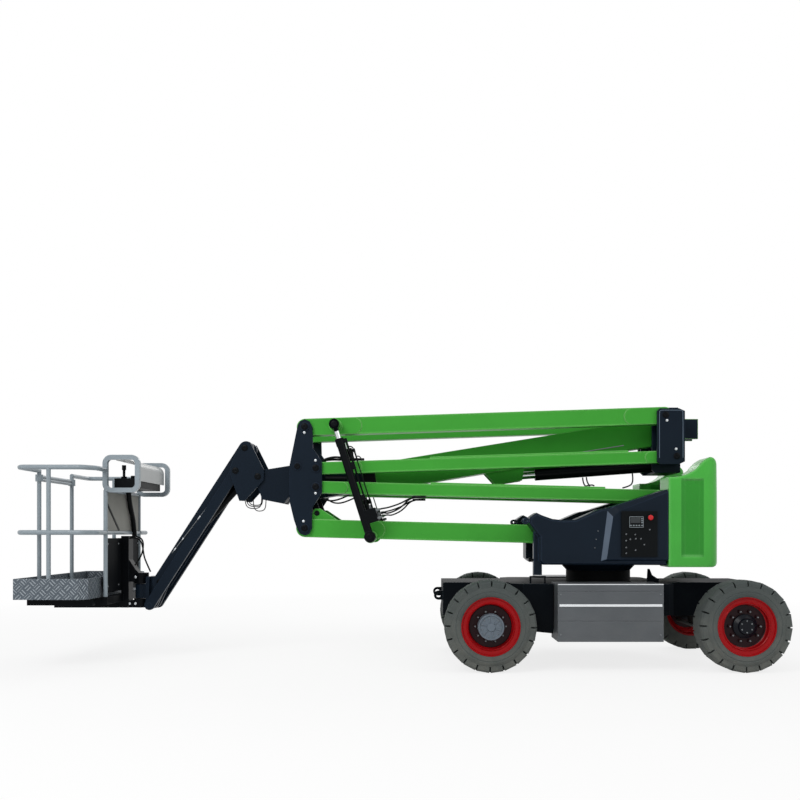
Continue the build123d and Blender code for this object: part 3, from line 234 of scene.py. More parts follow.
# Brushed black enamel on sand castings, rougher and a little brown with dust.
casting_enamel = finish("black_enamel_on_castings", "#0E1012", 0.55, spread=0.15, grain=0.009, depth=0.25,
                        dusty=0.15, shine=0.06)
dress(slate_enamel, "turntable_deck")
dress(chassis_enamel, "chassis_frame")
dress(casting_enamel, "slewing_ring", "drive_axle", "steer_axle", "steer_knuckle_near", "steer_knuckle_far",
      "tie_rod")

# ---------------------------------------------------------------- battery boxes
# Long boxes of folded zinc-plated sheet, hung on both sides between the wheels, with a bright extruded pull
# rail, a bright lid edge and four dome screws in each face.
HANDS = (("near", -1), ("far", 1))
RAIL_PROUD, RAIL_LOW, RAIL_HIGH, RAIL_INSET = 0.0008, 0.271, 0.290, 0.011
LID_EDGE, LID_BACK, SHEET = 0.007, 0.0035, 0.006
DOME_SCREW = [(0.007, 0), (0.007, 0.002), (0.005, 0.0045), (0.002, 0.0052)]
SCREW_IN, SCREW_TOP, SCREW_FOOT, SCREW_SUNK = 0.022, 0.081, 0.054, 0.005


def begin():
    """Leaves edit mode with nothing selected."""
    if bpy.context.mode != "OBJECT":
        bpy.ops.object.mode_set(mode="OBJECT")
    bpy.ops.object.select_all(action="DESELECT")


def settle(name, material):
    """Closes and orients a new piece's faces, puts its place in its mesh and gives it a name and a finish."""
    piece = bpy.context.object
    if bpy.context.mode != "EDIT_MESH":
        bpy.ops.object.mode_set(mode="EDIT")
    bpy.ops.mesh.select_all(action="SELECT")
    bpy.ops.mesh.remove_doubles(threshold=0.00002)
    bpy.ops.mesh.normals_make_consistent(inside=False)
    bpy.ops.object.mode_set(mode="OBJECT")
    bpy.ops.object.transform_apply(location=True, rotation=True, scale=True)
    bpy.ops.object.shade_smooth_by_angle(angle=math.radians(35))
    piece.name = piece.data.name = name
    piece.data.materials.clear()
    piece.data.materials.append(material)
    return piece


def rounded_box(name, low, high, edge, material, tilt=0.0):
    """A box with rounded edges between two corners, tilted about the cross axis through its middle."""
    begin()
    middle = [(a + b) / 2 for a, b in zip(low, high)]
    bpy.ops.mesh.primitive_cube_add(size=1, location=middle, rotation=(0, tilt, 0))
    bpy.context.object.scale = [b - a for a, b in zip(low, high)]
    bpy.ops.object.transform_apply(location=False, rotation=False, scale=True)
    bpy.ops.object.mode_set(mode="EDIT")
    bpy.ops.mesh.select_all(action="SELECT")
    bpy.ops.mesh.bevel(offset=edge, segments=2, affect="EDGES")
    return settle(name, material)


def turned(name, profile, centre, way, corners, material, closed=False):
    """A turned piece: a circle drawn out from ring to ring. The profile is (radius, distance along way)."""
    begin()
    bpy.ops.mesh.primitive_circle_add(vertices=corners, radius=profile[0][0], fill_type="NOTHING",
                                      location=(0, 0, profile[0][1]))
    bpy.ops.object.transform_apply(location=True)
    bpy.ops.object.mode_set(mode="EDIT")
    bpy.ops.mesh.select_all(action="SELECT")
    for (radius, height), (next_radius, next_height) in zip(profile, profile[1:]):
        bpy.ops.mesh.extrude_region_move(TRANSFORM_OT_translate={"value": (0, 0, next_height - height)})
        grow = next_radius / radius
        bpy.ops.transform.resize(value=(grow, grow, 1), center_override=(0, 0, next_height))
    if not closed:
        bpy.ops.mesh.select_all(action="SELECT")
        bpy.ops.mesh.fill_holes(sides=0)
    bpy.ops.object.mode_set(mode="OBJECT")
    piece = bpy.context.object
    piece.location = centre
    piece.rotation_euler = Vector(way).to_track_quat("Z", "Y").to_euler()
    return settle(name, material)


def repeat(piece, name, places, turns=None):
    """Copies of a piece modelled at the origin, turned, moved to each place and joined as one piece."""
    begin()
    for place, turn in zip(places, turns or [(0, 0, 0)] * len(places)):
        copy = piece.copy()
        copy.data = piece.data.copy()
        bpy.context.collection.objects.link(copy)
        copy.rotation_euler = turn
        copy.location = place
        copy.select_set(True)
        bpy.context.view_layer.objects.active = copy
    bpy.data.objects.remove(piece)
    if len(places) > 1:
        bpy.ops.object.join()
    bpy.ops.object.transform_apply(location=True, rotation=True)
    joined = bpy.context.object
    joined.name = joined.data.name = name
    return joined


# Zinc-plated sheet, brushed lengthwise: grey, half dull, brighter along its folds with rubbed wear and a
# painted highlight.
zinc_sheet = finish("brushed_zinc_grey_sheet", "#585C60", 0.42, metallic=0.3, spread=0.12, dusty=0.15,
                    wear_and_highlight="#85898D")
# Extruded aluminium, left bright.
bright_aluminium = finish("bright_extruded_aluminium", "#E4E7EA", 0.25, metallic=0.55, spread=0.03,
                          edge=0.001)
# Zinc-plated steel: bright on new keeper screws, dull and grey on what the weather has had.
bright_zinc = finish("bright_zinc_plating", "#C6CACD", 0.35, metallic=0.6, spread=0.05, edge=0.001)
dull_zinc = finish("weathered_zinc_plating", "#75797C", 0.5, metallic=0.35, spread=0.08, edge=0.001)
dress(zinc_sheet, "battery_boxes")

low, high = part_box("battery_boxes")
for hand, side in HANDS:
    face = side * high.y
    inside, outside = sorted((face - side * SHEET, face + side * RAIL_PROUD))
    rail = rounded_box(f"battery_rail_{hand}", (low.x + RAIL_INSET, inside, low.z + RAIL_LOW),
                       (high.x - RAIL_INSET, outside, low.z + RAIL_HIGH), 0.0015, bright_aluminium)
    inside, outside = sorted((face - side * SHEET, face - side * LID_BACK))
    lid = rounded_box(f"battery_lid_edge_{hand}", (low.x, inside, high.z - LID_EDGE),
                      (high.x, outside, high.z), 0.0008, bright_aluminium)
    screw = turned("screw", DOME_SCREW, (0, 0, 0), (0, side, 0), 12, dull_zinc)
    places = [(x, face - side * SCREW_SUNK, z) for x in (low.x + SCREW_IN, high.x - SCREW_IN)
              for z in (high.z - SCREW_TOP, low.z + SCREW_FOOT)]
    screws = repeat(screw, f"battery_screws_{hand}", places)
    for piece in (rail, lid, screws):
        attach(piece, "chassis")

# ---------------------------------------------------------------- wheels
# Solid rough-terrain tyres with moulded lugs on pressed-steel rims, red enamel outside and painted near black
# in the dish, as painted shade with some road dust, on ten studs. The drive hubs are cast covers with ribs;
# the steer hubs are black caps with six bolts.
# The dish's painted shade lies between the hub and this radius; the hub keeps its own colour.
DISH_SHADE_R, HUB_R = 0.1655, {"drive": 0.101, "steer": 0.094}
HUB_COLOURS = {"drive": "#66707A", "steer": "#0A0E16"}
# Two ribs moulded round each sidewall: (radius, distance out from the tyre's face).
SIDEWALL = [(0.231, -0.003), (0.233, 0.004), (0.240, 0.008), (0.262, 0.010), (0.267, 0.0055), (0.272, 0.010),
            (0.293, 0.0065), (0.304, -0.003), (0.231, -0.003)]
STUD = [(0.0075, 0), (0.0075, 0.009), (0.005, 0.013), (0.0015, 0.0135)]
STUD_COUNT, STUD_RING, STUD_OUT = 10, 0.118, 0.071
# Ribs of the cast cover: how many, the first one's turn in steps, their ends and their half width.
RIB_COUNT, RIB_TURN, RIB_FROM, RIB_TO, RIB_HALF, RIB_OUT = 6, 0.3, 0.036, 0.082, 0.005, 0.144
# Hub screws: how many, the radius of their ring, how far out they sit and the radius of their heads.
HUB_SCREWS = {"drive": (12, 0.072, 0.142, 0.0045), "steer": (6, 0.044, 0.109, 0.006)}


def between(tree, source, output, low, high):
    """One where a node's output lies between two values, and nought elsewhere."""
    after = put(tree, "ShaderNodeMath", [("operation", "GREATER_THAN"), (1, low)], [(0, source, output)])
    before = put(tree, "ShaderNodeMath", [("operation", "LESS_THAN"), (1, high)], [(0, source, output)])
    return put(tree, "ShaderNodeMath", [("operation", "MULTIPLY")], [(0, after, 0), (1, before, 0)])


def round_zone(centre, inner, outer):
    """A mask for what lies between two distances from a cross axis through the centre."""
    def mask(tree, where):
        at = put(tree, "ShaderNodeVectorMath", [("operation", "SUBTRACT"), (1, (centre[0], 0, centre[2]))],
                 [(0, where, "Object")])
        flat = put(tree, "ShaderNodeVectorMath", [("operation", "MULTIPLY"), (1, (1, 0, 1))], [(0, at, 0)])
        away = put(tree, "ShaderNodeVectorMath", [("operation", "LENGTH")], [(0, flat, 0)])
        return between(tree, away, "Value", inner, outer)
    return mask


def joint(name):
    """One joint of the frame."""
    return next(each for each in frame["joints"] if each["name"] == name)


def pin(name):
    """The place of a joint's axis, in metres."""
    return Vector(joint(name)["pos_m"])


def ring(centre, radius, out, count, start=0.0):
    """Places spaced evenly round a cross axis through the centre."""
    angles = [math.tau * (k + start) / count for k in range(count)]
    return [(centre.x + radius * math.cos(angle), centre.y + out, centre.z + radius * math.sin(angle))
            for angle in angles]


# Moulded rubber, dull and grey with dried dust; its edges are paler with rubbed wear and a painted highlight.
tyre_rubber = finish("dusty_moulded_rubber", "#434A4A", 0.8, spread=0.14, grain=0.006, depth=0.4, edge=0.008,
                     dusty=0.55, wear_and_highlight="#5C6464")
for place in ("drive", "steer"):
    for hand, side in HANDS:
        body = f"wheel_{place}_{hand}"
        centre = pin(f"wheel_{place}_{hand}_spin")
        out = (0, side, 0)
        # Red enamel over pressed steel; the dish behind the bead is painted near black, as painted shade with
        # some road dust.
        enamel = finish(f"red_enamel_on_{place}_rim_{hand}", "#980A10", 0.30, spread=0.12, shine=0.15,
                        edge=0.003, zones=((round_zone(centre, HUB_R[place], DISH_SHADE_R), "#22040A"),
                                           (round_zone(centre, -1.0, HUB_R[place]), HUB_COLOURS[place])))
        dress(tyre_rubber, f"tyre_{place}_{hand}")
        dress(enamel, f"rim_{place}_{hand}")
        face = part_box(f"tyre_{place}_{hand}")[0 if side < 0 else 1].y
        sidewall = turned(f"sidewall_{place}_{hand}", SIDEWALL, (centre.x, face, centre.z), out, 72,
                          tyre_rubber, closed=True)
        stud = turned("stud", STUD, (0, 0, 0), out, 10, dull_zinc)
        studs = repeat(stud, f"studs_{place}_{hand}", ring(centre, STUD_RING, side * STUD_OUT, STUD_COUNT))
        pieces = [sidewall, studs]
        if place == "drive":
            rib = rounded_box("rib", (RIB_FROM, -0.004, -RIB_HALF), (RIB_TO, 0.004, RIB_HALF), 0.0015, enamel)
            turns = [(0, math.tau * (k + RIB_TURN) / RIB_COUNT, 0) for k in range(RIB_COUNT)]
            middle = (centre.x, centre.y + side * RIB_OUT, centre.z)
            pieces.append(repeat(rib, f"hub_ribs_{hand}", [middle] * RIB_COUNT, turns))
        count, radius, height, size = HUB_SCREWS[place]
        screw = turned("hub_screw", [(size, 0), (size, 0.005), (size * 0.5, 0.0075)], (0, 0, 0), out, 8,
                       dull_zinc)
        pieces.append(repeat(screw, f"hub_screws_{place}_{hand}",
                             ring(centre, radius, side * height, count, 0.5)))
        for piece in pieces:
            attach(piece, body)

# ---------------------------------------------------------------- covers and counterweight
# Moulded covers over the pumps on both sides of the deck, dark and satin, riveted along the service panel.
# The counterweight is one iron casting under thick green enamel, with a hollow in each cheek where shade is
# painted.
ORIGIN, ALONG_X, ALONG_Z = (0, 0, 0), (1, 0, 0), (0, 0, 1)
cover_low, casting_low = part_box("side_cover_near")[0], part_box("counterweight")[0]
controls_low, controls_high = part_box("ground_controls")
# Where the painted highlight lies on the panel's chamfer: from the cover's front end, and how far its faces
# lean along X.
CHAMFER_HIGHLIGHT_X, CHAMFER_HIGHLIGHT_LEAN = (0.534, 0.734), (-0.62, -0.40)
# Where shade is painted in the casting's hollow, from its lowest corner.
HOLLOW_SHADE_X, HOLLOW_SHADE_Z = (0.098, 0.276), (0.081, 0.701)
RIVET, RIVET_SUNK = [(0.0045, 0), (0.004, 0.002), (0.002, 0.0032)], 0.024
# Each rivet, in front of the ground controls and down from their top.
RIVETS = ((0.178, 0.156), (0.192, 0.222), (0.203, 0.290))


def along_zone(start, way, low, high):
    """A mask for what lies between two distances along a line."""
    def mask(tree, where):
        at = put(tree, "ShaderNodeVectorMath", [("operation", "SUBTRACT"), (1, tuple(start))],
                 [(0, where, "Object")])
        run = put(tree, "ShaderNodeVectorMath", [("operation", "DOT_PRODUCT"), (1, tuple(way))], [(0, at, 0)])
        return between(tree, run, "Value", low, high)
    return mask


def slope_zone(low, high):
    """A mask for faces whose outward direction leans along X by so much."""
    def mask(tree, where):
        lean = put(tree, "ShaderNodeSeparateXYZ", [], [("Vector", where, "Normal")])
        return between(tree, lean, "X", low, high)
    return mask


def both(one, other):
    """A mask for what lies in two zones."""
    def mask(tree, where):
        return put(tree, "ShaderNodeMath", [("operation", "MULTIPLY")],
                   [(0, one(tree, where), 0), (1, other(tree, where), 0)])
    return mask


# Moulded polyethylene, through-coloured, satin with a fine grain; the chamfer of its panel carries a painted
# highlight from the sky, and its edges are paler with rubbed wear and a painted highlight.
chamfer_highlight = both(slope_zone(*CHAMFER_HIGHLIGHT_LEAN), along_zone((cover_low.x, 0, 0), ALONG_X, *CHAMFER_HIGHLIGHT_X))
moulded_cover = finish("dark_moulded_cover", "#141E29", 0.34, spread=0.08, grain=0.003, depth=0.10,
                       edge=0.012, shine=0.08, wear_and_highlight="#3A4A62", zones=((chamfer_highlight, "#5A6675"),))
# Thick brushed enamel that rounds over the casting's edges and swells with its skin; painted shade in its
# hollows, and edges paler with rubbed wear and a painted highlight.
hollow_shade = both(along_zone(casting_low, ALONG_X, *HOLLOW_SHADE_X), along_zone(casting_low, ALONG_Z, *HOLLOW_SHADE_Z))
green_casting = finish("green_enamel_on_cast_iron", "#42A93C", 0.24, spread=0.06, grain=0.02, depth=0.10,
                       edge=0.035, coat=0.15, wear_and_highlight="#7BD873", zones=((hollow_shade, "#278A25"),))
dress(moulded_cover, "side_cover_near", "side_cover_far")
dress(green_casting, "counterweight")

rivet = turned("rivet", RIVET, (0, 0, 0), (0, -1, 0), 10, dull_zinc)
skin = cover_low.y + RIVET_SUNK
places = [(controls_low.x - ahead, skin, controls_high.z - down) for ahead, down in RIVETS]
rivets = repeat(rivet, "panel_rivets", places)
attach(rivets, "turntable")

# ---------------------------------------------------------------- ground controls
# A black moulded box let into the near cover: a display with eight keys, eleven plated toggle switches and a
# red stop button. On the post beside it sits the swing lock's spring plunger.
PANEL_BACK = 0.016
STOP_BUTTON = [(0.014, 0), (0.020, 0.003), (0.021, 0.010), (0.017, 0.015), (0.007, 0.0175)]
TOGGLE = [(0.006, 0), (0.006, 0.003), (0.0025, 0.004), (0.0025, 0.012), (0.0035, 0.016), (0.002, 0.018)]
# Each toggle, from the box's left edge and down from its top.
TOGGLES = [(0.036, 0.182), (0.107, 0.186), (0.152, 0.219), (0.111, 0.218), (0.068, 0.223), (0.036, 0.233),
           (0.179, 0.264), (0.036, 0.287), (0.110, 0.308), (0.036, 0.332), (0.221, 0.147)]
# The display's raised border, in the same measures: name, from and to across, foot and top.
BORDER = (("left", (0.060, 0.064), (0.130, 0.042)), ("right", (0.168, 0.172), (0.130, 0.042)),
          ("top", (0.060, 0.172), (0.046, 0.042)), ("foot", (0.060, 0.172), (0.130, 0.126)))
STOP_AT, SCREEN_X, SCREEN_Z = (0.224, 0.051), (0.068, 0.148), (0.094, 0.049)
# Five keys in a row below the display, and three beside it.
KEY_HALF, KEY_STEP = 0.007, 0.022
KEYS = [(0.072 + KEY_STEP * k, 0.113) for k in range(5)] + [(0.160, down) for down in (0.058, 0.074, 0.090)]
# The plunger's knob, from the near cover's lowest corner.
PLUNGER = [(0.009, 0), (0.009, 0.016), (0.016, 0.018), (0.017, 0.034), (0.013, 0.040), (0.004, 0.041)]
PLUNGER_AT = Vector((0.087, 0.139, 0.120))
# Black moulded plastic with a fine grain; its edges are paler with rubbed wear and a painted highlight.
black_plastic = finish("black_moulded_plastic", "#0C0F11", 0.42, spread=0.08, grain=0.002, depth=0.1,
                       shine=0.07, wear_and_highlight="#1D2125")
# Red moulded button, glossy; display glass, near black; moulded keys, pale grey.
stop_red = finish("red_moulded_button", "#C3161B", 0.25, spread=0.03, coat=0.4, edge=0.002)
display_glass = finish("dark_display_glass", "#1A2226", 0.08, spread=0.02, depth=0.0, edge=0.001, coat=0.6)
key_grey = finish("pale_grey_key", "#7E868B", 0.45, spread=0.03, edge=0.001)
dress(black_plastic, "ground_controls")

panel = controls_low.y + PANEL_BACK


def on_panel(spot, proud):
    """A place on the controls' panel, from their left edge and down from their top."""
    return controls_low.x + spot[0], panel - proud, controls_high.z - spot[1]


stop = turned("stop_button", STOP_BUTTON, on_panel(STOP_AT, PANEL_BACK + 0.001), (0, -1, 0), 24, stop_red)
screen = rounded_box("display", on_panel((SCREEN_X[0], SCREEN_Z[0]), 0.0085),
                     on_panel((SCREEN_X[1], SCREEN_Z[1]), 0.004), 0.0015, display_glass)
bars = [rounded_box(f"display_{name}", on_panel((x[0], z[0]), 0.0082), on_panel((x[1], z[1]), 0.005), 0.0008,
                    key_grey) for name, x, z in BORDER]
key = rounded_box("key", (-KEY_HALF, -0.003, -0.005), (KEY_HALF, 0, 0.005), 0.0012, key_grey)
keys = repeat(key, "display_keys", [on_panel(spot, 0.006) for spot in KEYS])
toggle = turned("toggle", TOGGLE, (0, 0, 0), (0, -1, 0.25), 10, dull_zinc)
toggles = repeat(toggle, "ground_toggles", [on_panel(spot, 0.001) for spot in TOGGLES])
knob = turned("lock_knob", PLUNGER, cover_low + PLUNGER_AT, (-1, 0, 0), 16, black_plastic)
for piece in [stop, screen, keys, toggles, knob] + bars:
    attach(piece, "turntable")

# ---------------------------------------------------------------- riser arms
# Folded and welded box arms in two stacked parallelograms under green gloss enamel. Dark welded knuckles
# carry their pins, each closed by a black end cap and held by a bright keeper screw.
CAP = [(0.024, -0.002), (0.027, 0.001), (0.027, 0.005), (0.024, 0.007), (0.010, 0.0072), (0.008, 0.004)]
KEEPER = [(0.011, -0.001), (0.011, 0.003), (0.008, 0.0035), (0.008, 0.009), (0.004, 0.0105)]
plate_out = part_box("upper_knuckle")[1].y
# A link's pin lies off its arm's pin by the same run at both ends of a parallelogram.
lower_run = pin("lower_link_pivot") - pin("riser_lift")
upper_run = pin("upper_link_pivot") - pin("upper_arm_pivot")
# For each knuckle: the place of each pin, and where its keeper screw sits off it, across and up.
KNUCKLE_PINS = {
    "mid_knuckle": ((pin("upper_arm_pivot"), (-0.002, -0.048)), (pin("upper_link_pivot"), (-0.002, 0.062)),
                    (pin("mid_knuckle_pivot") + lower_run, (-0.002, -0.053)),
                    (pin("mid_knuckle_pivot"), (-0.010, 0.056))),
    "upper_knuckle": ((pin("upper_knuckle_pivot"), (0.010, -0.046)),
                      (pin("upper_knuckle_pivot") + upper_run, (-0.006, 0.058)))}
# The lifting cylinders stand on the lower arm, and their rods reach up to the upper arm.
cylinder_foot, up_cylinder = pin("riser_barrel_pivot"), Vector(joint("riser_rod_slide")["axis"])
CYLINDER_LENGTH, EYE_R = 0.95544, 0.062
cylinder_head = cylinder_foot + CYLINDER_LENGTH * up_cylinder
# The single pins beside them: name, body, place, how far out, size against a knuckle's cap.
timing_foot = pin("timing_link_pivot")
LONE_CAPS = (("lever_cap", "mid_knuckle", timing_foot + Vector((-0.155, 0, 0.382)), 0.355, 0.9),
             ("gusset_cap", "lower_arm", timing_foot, 0.290, 0.8),
             ("cylinder_foot_cap", "riser_barrels", cylinder_foot, 0.489, 1.1),
             ("cylinder_head_cap", "riser_rods", cylinder_head, 0.483, 0.95))

# Green gloss enamel over folded plate: smooth, a little orange peel, paler along the folds with rubbed wear
# and a painted highlight.
green_enamel = finish("green_gloss_enamel", "#449F3B", 0.30, spread=0.05, shine=0.05, edge=0.012,
                      wear_and_highlight="#8FDC80")
# Black satin enamel on cylinders, links and caps; its edges are paler with rubbed wear and a painted
# highlight.
black_enamel = finish("black_satin_enamel", "#0B0D10", 0.34, spread=0.10, shine=0.06, wear_and_highlight="#242A31")
# Ground and hard-chromed rod, a near mirror; its head eye is a forging under the black enamel.
rod_and_eye = finish("chromed_rod_with_black_eye", "#D5D8DA", 0.12, metallic=1.0, spread=0.02, depth=0.0,
                     edge=0.001, zones=((round_zone(cylinder_head, -1.0, EYE_R), "#0B0D10"),))
dress(green_enamel, "lower_arm", "lower_link", "upper_arm", "upper_link")
dress(slate_enamel, "mid_knuckle", "upper_knuckle")
dress(black_enamel, "timing_links", "riser_barrels")
dress(rod_and_eye, "riser_rods")

for hand, side in HANDS:
    for body, pins in KNUCKLE_PINS.items():
        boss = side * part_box(body)[1].y
        cap = turned("cap", CAP, (0, 0, 0), (0, side, 0), 24, black_enamel)
        caps = repeat(cap, f"{body}_pin_caps_{hand}", [(at.x, boss, at.z) for at, _ in pins])
        screw = turned("keeper", KEEPER, (0, 0, 0), (0, side, 0), 12, bright_zinc)
        screws = repeat(screw, f"{body}_keeper_screws_{hand}",
                        [(at.x + off[0], side * plate_out, at.z + off[1]) for at, off in pins])
        for piece in (caps, screws):
            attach(piece, body)
    for name, body, at, out, grow in LONE_CAPS:
        profile = [(radius * grow, height) for radius, height in CAP]
        cap = turned(f"{name}_{hand}", profile, (at.x, side * out, at.z), (0, side, 0), 24, black_enamel)
        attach(cap, body)


def bent_line(name, points, steps):
    """One open smooth line through a few points, with closed ends and as yet no thickness."""
    begin()
    line = bpy.data.curves.new(name, "CURVE")
    line.dimensions = "3D"
    line.resolution_u = steps
    line.bevel_resolution = 3
    line.use_fill_caps = True
    spline = line.splines.new("NURBS")
    spline.points.add(len(points) - 1)
    for point, place in zip(spline.points, points):
        point.co = (*place, 1)
    spline.order_u = 3
    spline.use_endpoint_u = True
    made = bpy.data.objects.new(name, line)
    bpy.context.collection.objects.link(made)
    return made


def tube(name, points, radius, material, body):
    """A bent steel pipe or a clipped hose of one bore, made mesh."""
    made = bent_line(name, points, 6)
    made.data.bevel_depth = radius
    made.select_set(True)
    bpy.context.view_layer.objects.active = made
    bpy.ops.object.convert(target="MESH")
    piece = settle(name, material)
    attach(piece, body)


# Border pressed round each cheek of the upper knuckle, its rim rubbed pale.
cheek_line = finish("pale_pressed_edge", "#6C7C8E", 0.4, spread=0.05, edge=0.0005)
BORDER_PROUD, BORDER_R = 0.0002, 0.0022
# The border's points, back from the cheek's front edge and down from its top.
CHEEK_BORDER = ((0.026, 0.431), (0.026, 0.071), (0.028, 0.043), (0.054, 0.040), (0.184, 0.040),
                (0.216, 0.042), (0.219, 0.071), (0.219, 0.431))
low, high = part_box("upper_knuckle")
for hand, side in HANDS:
    points = [(low.x + back, side * (high.y + BORDER_PROUD), high.z - down) for back, down in CHEEK_BORDER]
    tube(f"cheek_border_{hand}", points, BORDER_R, cheek_line, "upper_knuckle")

# ---------------------------------------------------------------- riser cylinders and hoses
# Black double-acting cylinders, each with a steel pipe along its barrel and zinc-plated fittings on its
# holding valve. Rubber hoses run from the valve to a plug under the lower link, and others cross between the
# middle arms.
off_cylinder = Vector((up_cylinder.z, 0, -up_cylinder.x))
FITTING = [(0.010, -0.003), (0.010, 0.006), (0.014, 0.007), (0.014, 0.020), (0.010, 0.022), (0.010, 0.034),
           (0.007, 0.036)]
# Each fitting of the valve: up the cylinder from its foot, off its axis, and out; the last one points up.
VALVE_PORTS = [(0.190, 0.108, 0.470), (0.158, 0.108, 0.428), (0.126, 0.108, 0.474), (0.213, 0.075, 0.440)]
PORT_DEPTH = 0.022
# The pipe along the barrel, in the same measures.
PIPE_OUT, PIPE_R = 0.462, 0.005
PIPE = [(0.218, 0.088), (0.30, 0.088), (0.52, 0.088), (0.70, 0.088), (0.742, 0.084), (0.748, 0.058)]
# Steel tube across the gap between the middle arms, back from the upper link's pin and up.
GAP_TUBE, GAP_TUBE_OUT, GAP_TUBE_R = ((0.072, -0.076), (0.152, -0.076), (0.250, -0.079)), 0.270, 0.019
# Two lines clipped along the upper link, from its pin: back, up, and share of the second line's lift.
HEAD_LINE = ((0.047, 0.065, 0), (0.112, 0.077, 1), (0.212, 0.073, 1), (0.312, 0.075, 0), (0.392, 0.077, 0))
HEAD_LINES_OUT, HEAD_LINE_LIFT, HEAD_LINE_R = (0.262, 0.282), 0.018, 0.0095
UNDER_HOSE = [(-0.700, 1.392), (-0.665, 1.358), (-0.600, 1.336), (-0.520, 1.350), (-0.440, 1.388)]
UNDER_HOSE_OUT, UNDER_HOSE_WIDTH = 0.303, 0.014
# The valve's two hoses: where each starts on the plug, and how far its middle hangs down.
VALVE_HOSES, VALVE_HOSE_WIDTH = (((0.100, 0.296, 1.366), 0.010), ((0.100, 0.310, 1.366), 0.034)), 0.013
PLUG_X, PLUG_OUT, PLUG_Z = (0.075, 0.190), (0.285, 0.322), (1.362, 1.379)

# Extruded and wrapped hose rubber, dull black.
black_rubber = finish("black_hose_rubber", "#0E1012", 0.5, spread=0.08, grain=0.002, depth=0.15, edge=0.001,
                      shine=0.1)


def hose(name, points, width, body):
    """A free rubber hose, kept as a curve."""
    piece = bent_line(name, points, 8)
    bare = bpy.data.meshes.new_from_object(piece)
    bpy.data.meshes.remove(bare)
    piece.data.bevel_depth = width / 2
    piece.data.materials.append(black_rubber)
    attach(piece, body)


def by_cylinder(run, off, out):
    """A place beside the lifting cylinder: up from its foot, off its axis and out along Y."""
    return cylinder_foot + run * up_cylinder + off * off_cylinder + Vector((0, out, 0))


link_pin = pin("upper_link_pivot")
for hand, side in HANDS:
    ports = []
    for k, (run, off, out) in enumerate(VALVE_PORTS):
        seat = by_cylinder(run, off, side * out)
        way = up_cylinder if k == len(VALVE_PORTS) - 1 else off_cylinder
        fitting = turned(f"valve_fitting_{hand}_{k}", FITTING, seat, way, 12 if k % 2 else 6, dull_zinc)
        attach(fitting, "riser_barrels")
        ports.append(seat + way * PORT_DEPTH)
    tube(f"cylinder_pipe_{hand}", [by_cylinder(run, off, side * PIPE_OUT) for run, off in PIPE], PIPE_R,
         black_enamel, "riser_barrels")
    points = [(link_pin.x + back, side * GAP_TUBE_OUT, link_pin.z + up) for back, up in GAP_TUBE]
    tube(f"gap_tube_{hand}", points, GAP_TUBE_R, black_enamel, "mid_knuckle")
    for k, out in enumerate(HEAD_LINES_OUT):
        points = [(link_pin.x + back, side * out, link_pin.z + up + k * lift * HEAD_LINE_LIFT)
                  for back, up, lift in HEAD_LINE]
        tube(f"head_line_{hand}_{k}", points, HEAD_LINE_R, black_rubber, "upper_link")
    hose(f"under_hose_{hand}", [(x, side * UNDER_HOSE_OUT, z) for x, z in UNDER_HOSE], UNDER_HOSE_WIDTH,
         "lower_link")
    for k, ((x, out, z), drop) in enumerate(VALVE_HOSES):
        start, end = Vector((x, side * out, z)), ports[k]
        span, hang = end - start, Vector((0, 0, drop))
        points = [start, start + Vector((-0.045, 0, -0.006)), start + span * 0.4 - hang,
                  start + span * 0.75 - hang, end + off_cylinder * 0.03, end]
        hose(f"valve_hose_{hand}_{k}", points, VALVE_HOSE_WIDTH, "lower_link")
    low, high = zip(PLUG_X, sorted(side * out for out in PLUG_OUT), PLUG_Z)
    plug = rounded_box(f"valve_hose_plug_{hand}", low, high, 0.003, black_plastic)
    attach(plug, "lower_link")

# ---------------------------------------------------------------- boom
# Two-stage box boom under green gloss enamel with a black wear collar at its mouth; the inner stage is slate.
# A black cylinder with a chromed rod lifts it, fed by three short hoses, and a steel line runs along each
# side.
boom_pin, boom_way = pin("main_lift"), Vector(joint("telescope")["axis"])
boom_rise = Vector((boom_way.z, 0, -boom_way.x))
# Along the boom from its pin: the collar, and where the slate tail casting begins.
COLLAR, TAIL_START = (2.513, 2.626), -0.085
LINE_RUN, LINE_RISE, LINE_PROUD, BOOM_LINE_R = (0.42, 0.75, 1.05, 1.30), -0.075, 0.002, 0.0045
# Two hoses from the cylinder's mouth and one from its tail, to the lines on the lower link.
LIFT_HOSES = ([(1.530, 0.030, 1.546), (1.530, 0.048, 1.505), (1.538, 0.120, 1.466), (1.545, 0.195, 1.474),
               (1.550, 0.245, 1.467)],
              [(1.562, 0.030, 1.549), (1.562, 0.050, 1.512), (1.570, 0.125, 1.474), (1.578, 0.200, 1.478),
               (1.584, 0.252, 1.467)],
              [(1.950, 0.030, 1.600), (1.955, 0.048, 1.560), (1.935, 0.120, 1.490), (1.880, 0.195, 1.462),
               (1.825, 0.248, 1.449)])
LIFT_HOSE_WIDTH = 0.012

# The arms' green gloss enamel, with the collar in black and the tail in slate; its edges are paler with
# rubbed wear and a painted highlight.
boom_enamel = finish("green_enamel_with_black_collar", "#3A9532", 0.30, spread=0.06, shine=0.05, edge=0.012,
                     wear_and_highlight="#74C566", zones=((along_zone(boom_pin, boom_way, *COLLAR), "#0B0D10"),
                                            (along_zone(boom_pin, boom_way, -1.0, TAIL_START), "#131D28")))
# Ground and hard-chromed rod, a near mirror.
hard_chrome = finish("hard_chromed_rod", "#D5D8DA", 0.12, metallic=1.0, spread=0.02, depth=0.0, edge=0.001)
dress(boom_enamel, "main_boom")
dress(slate_enamel, "inner_boom")
dress(black_enamel, "lift_barrel")
dress(hard_chrome, "lift_rod")

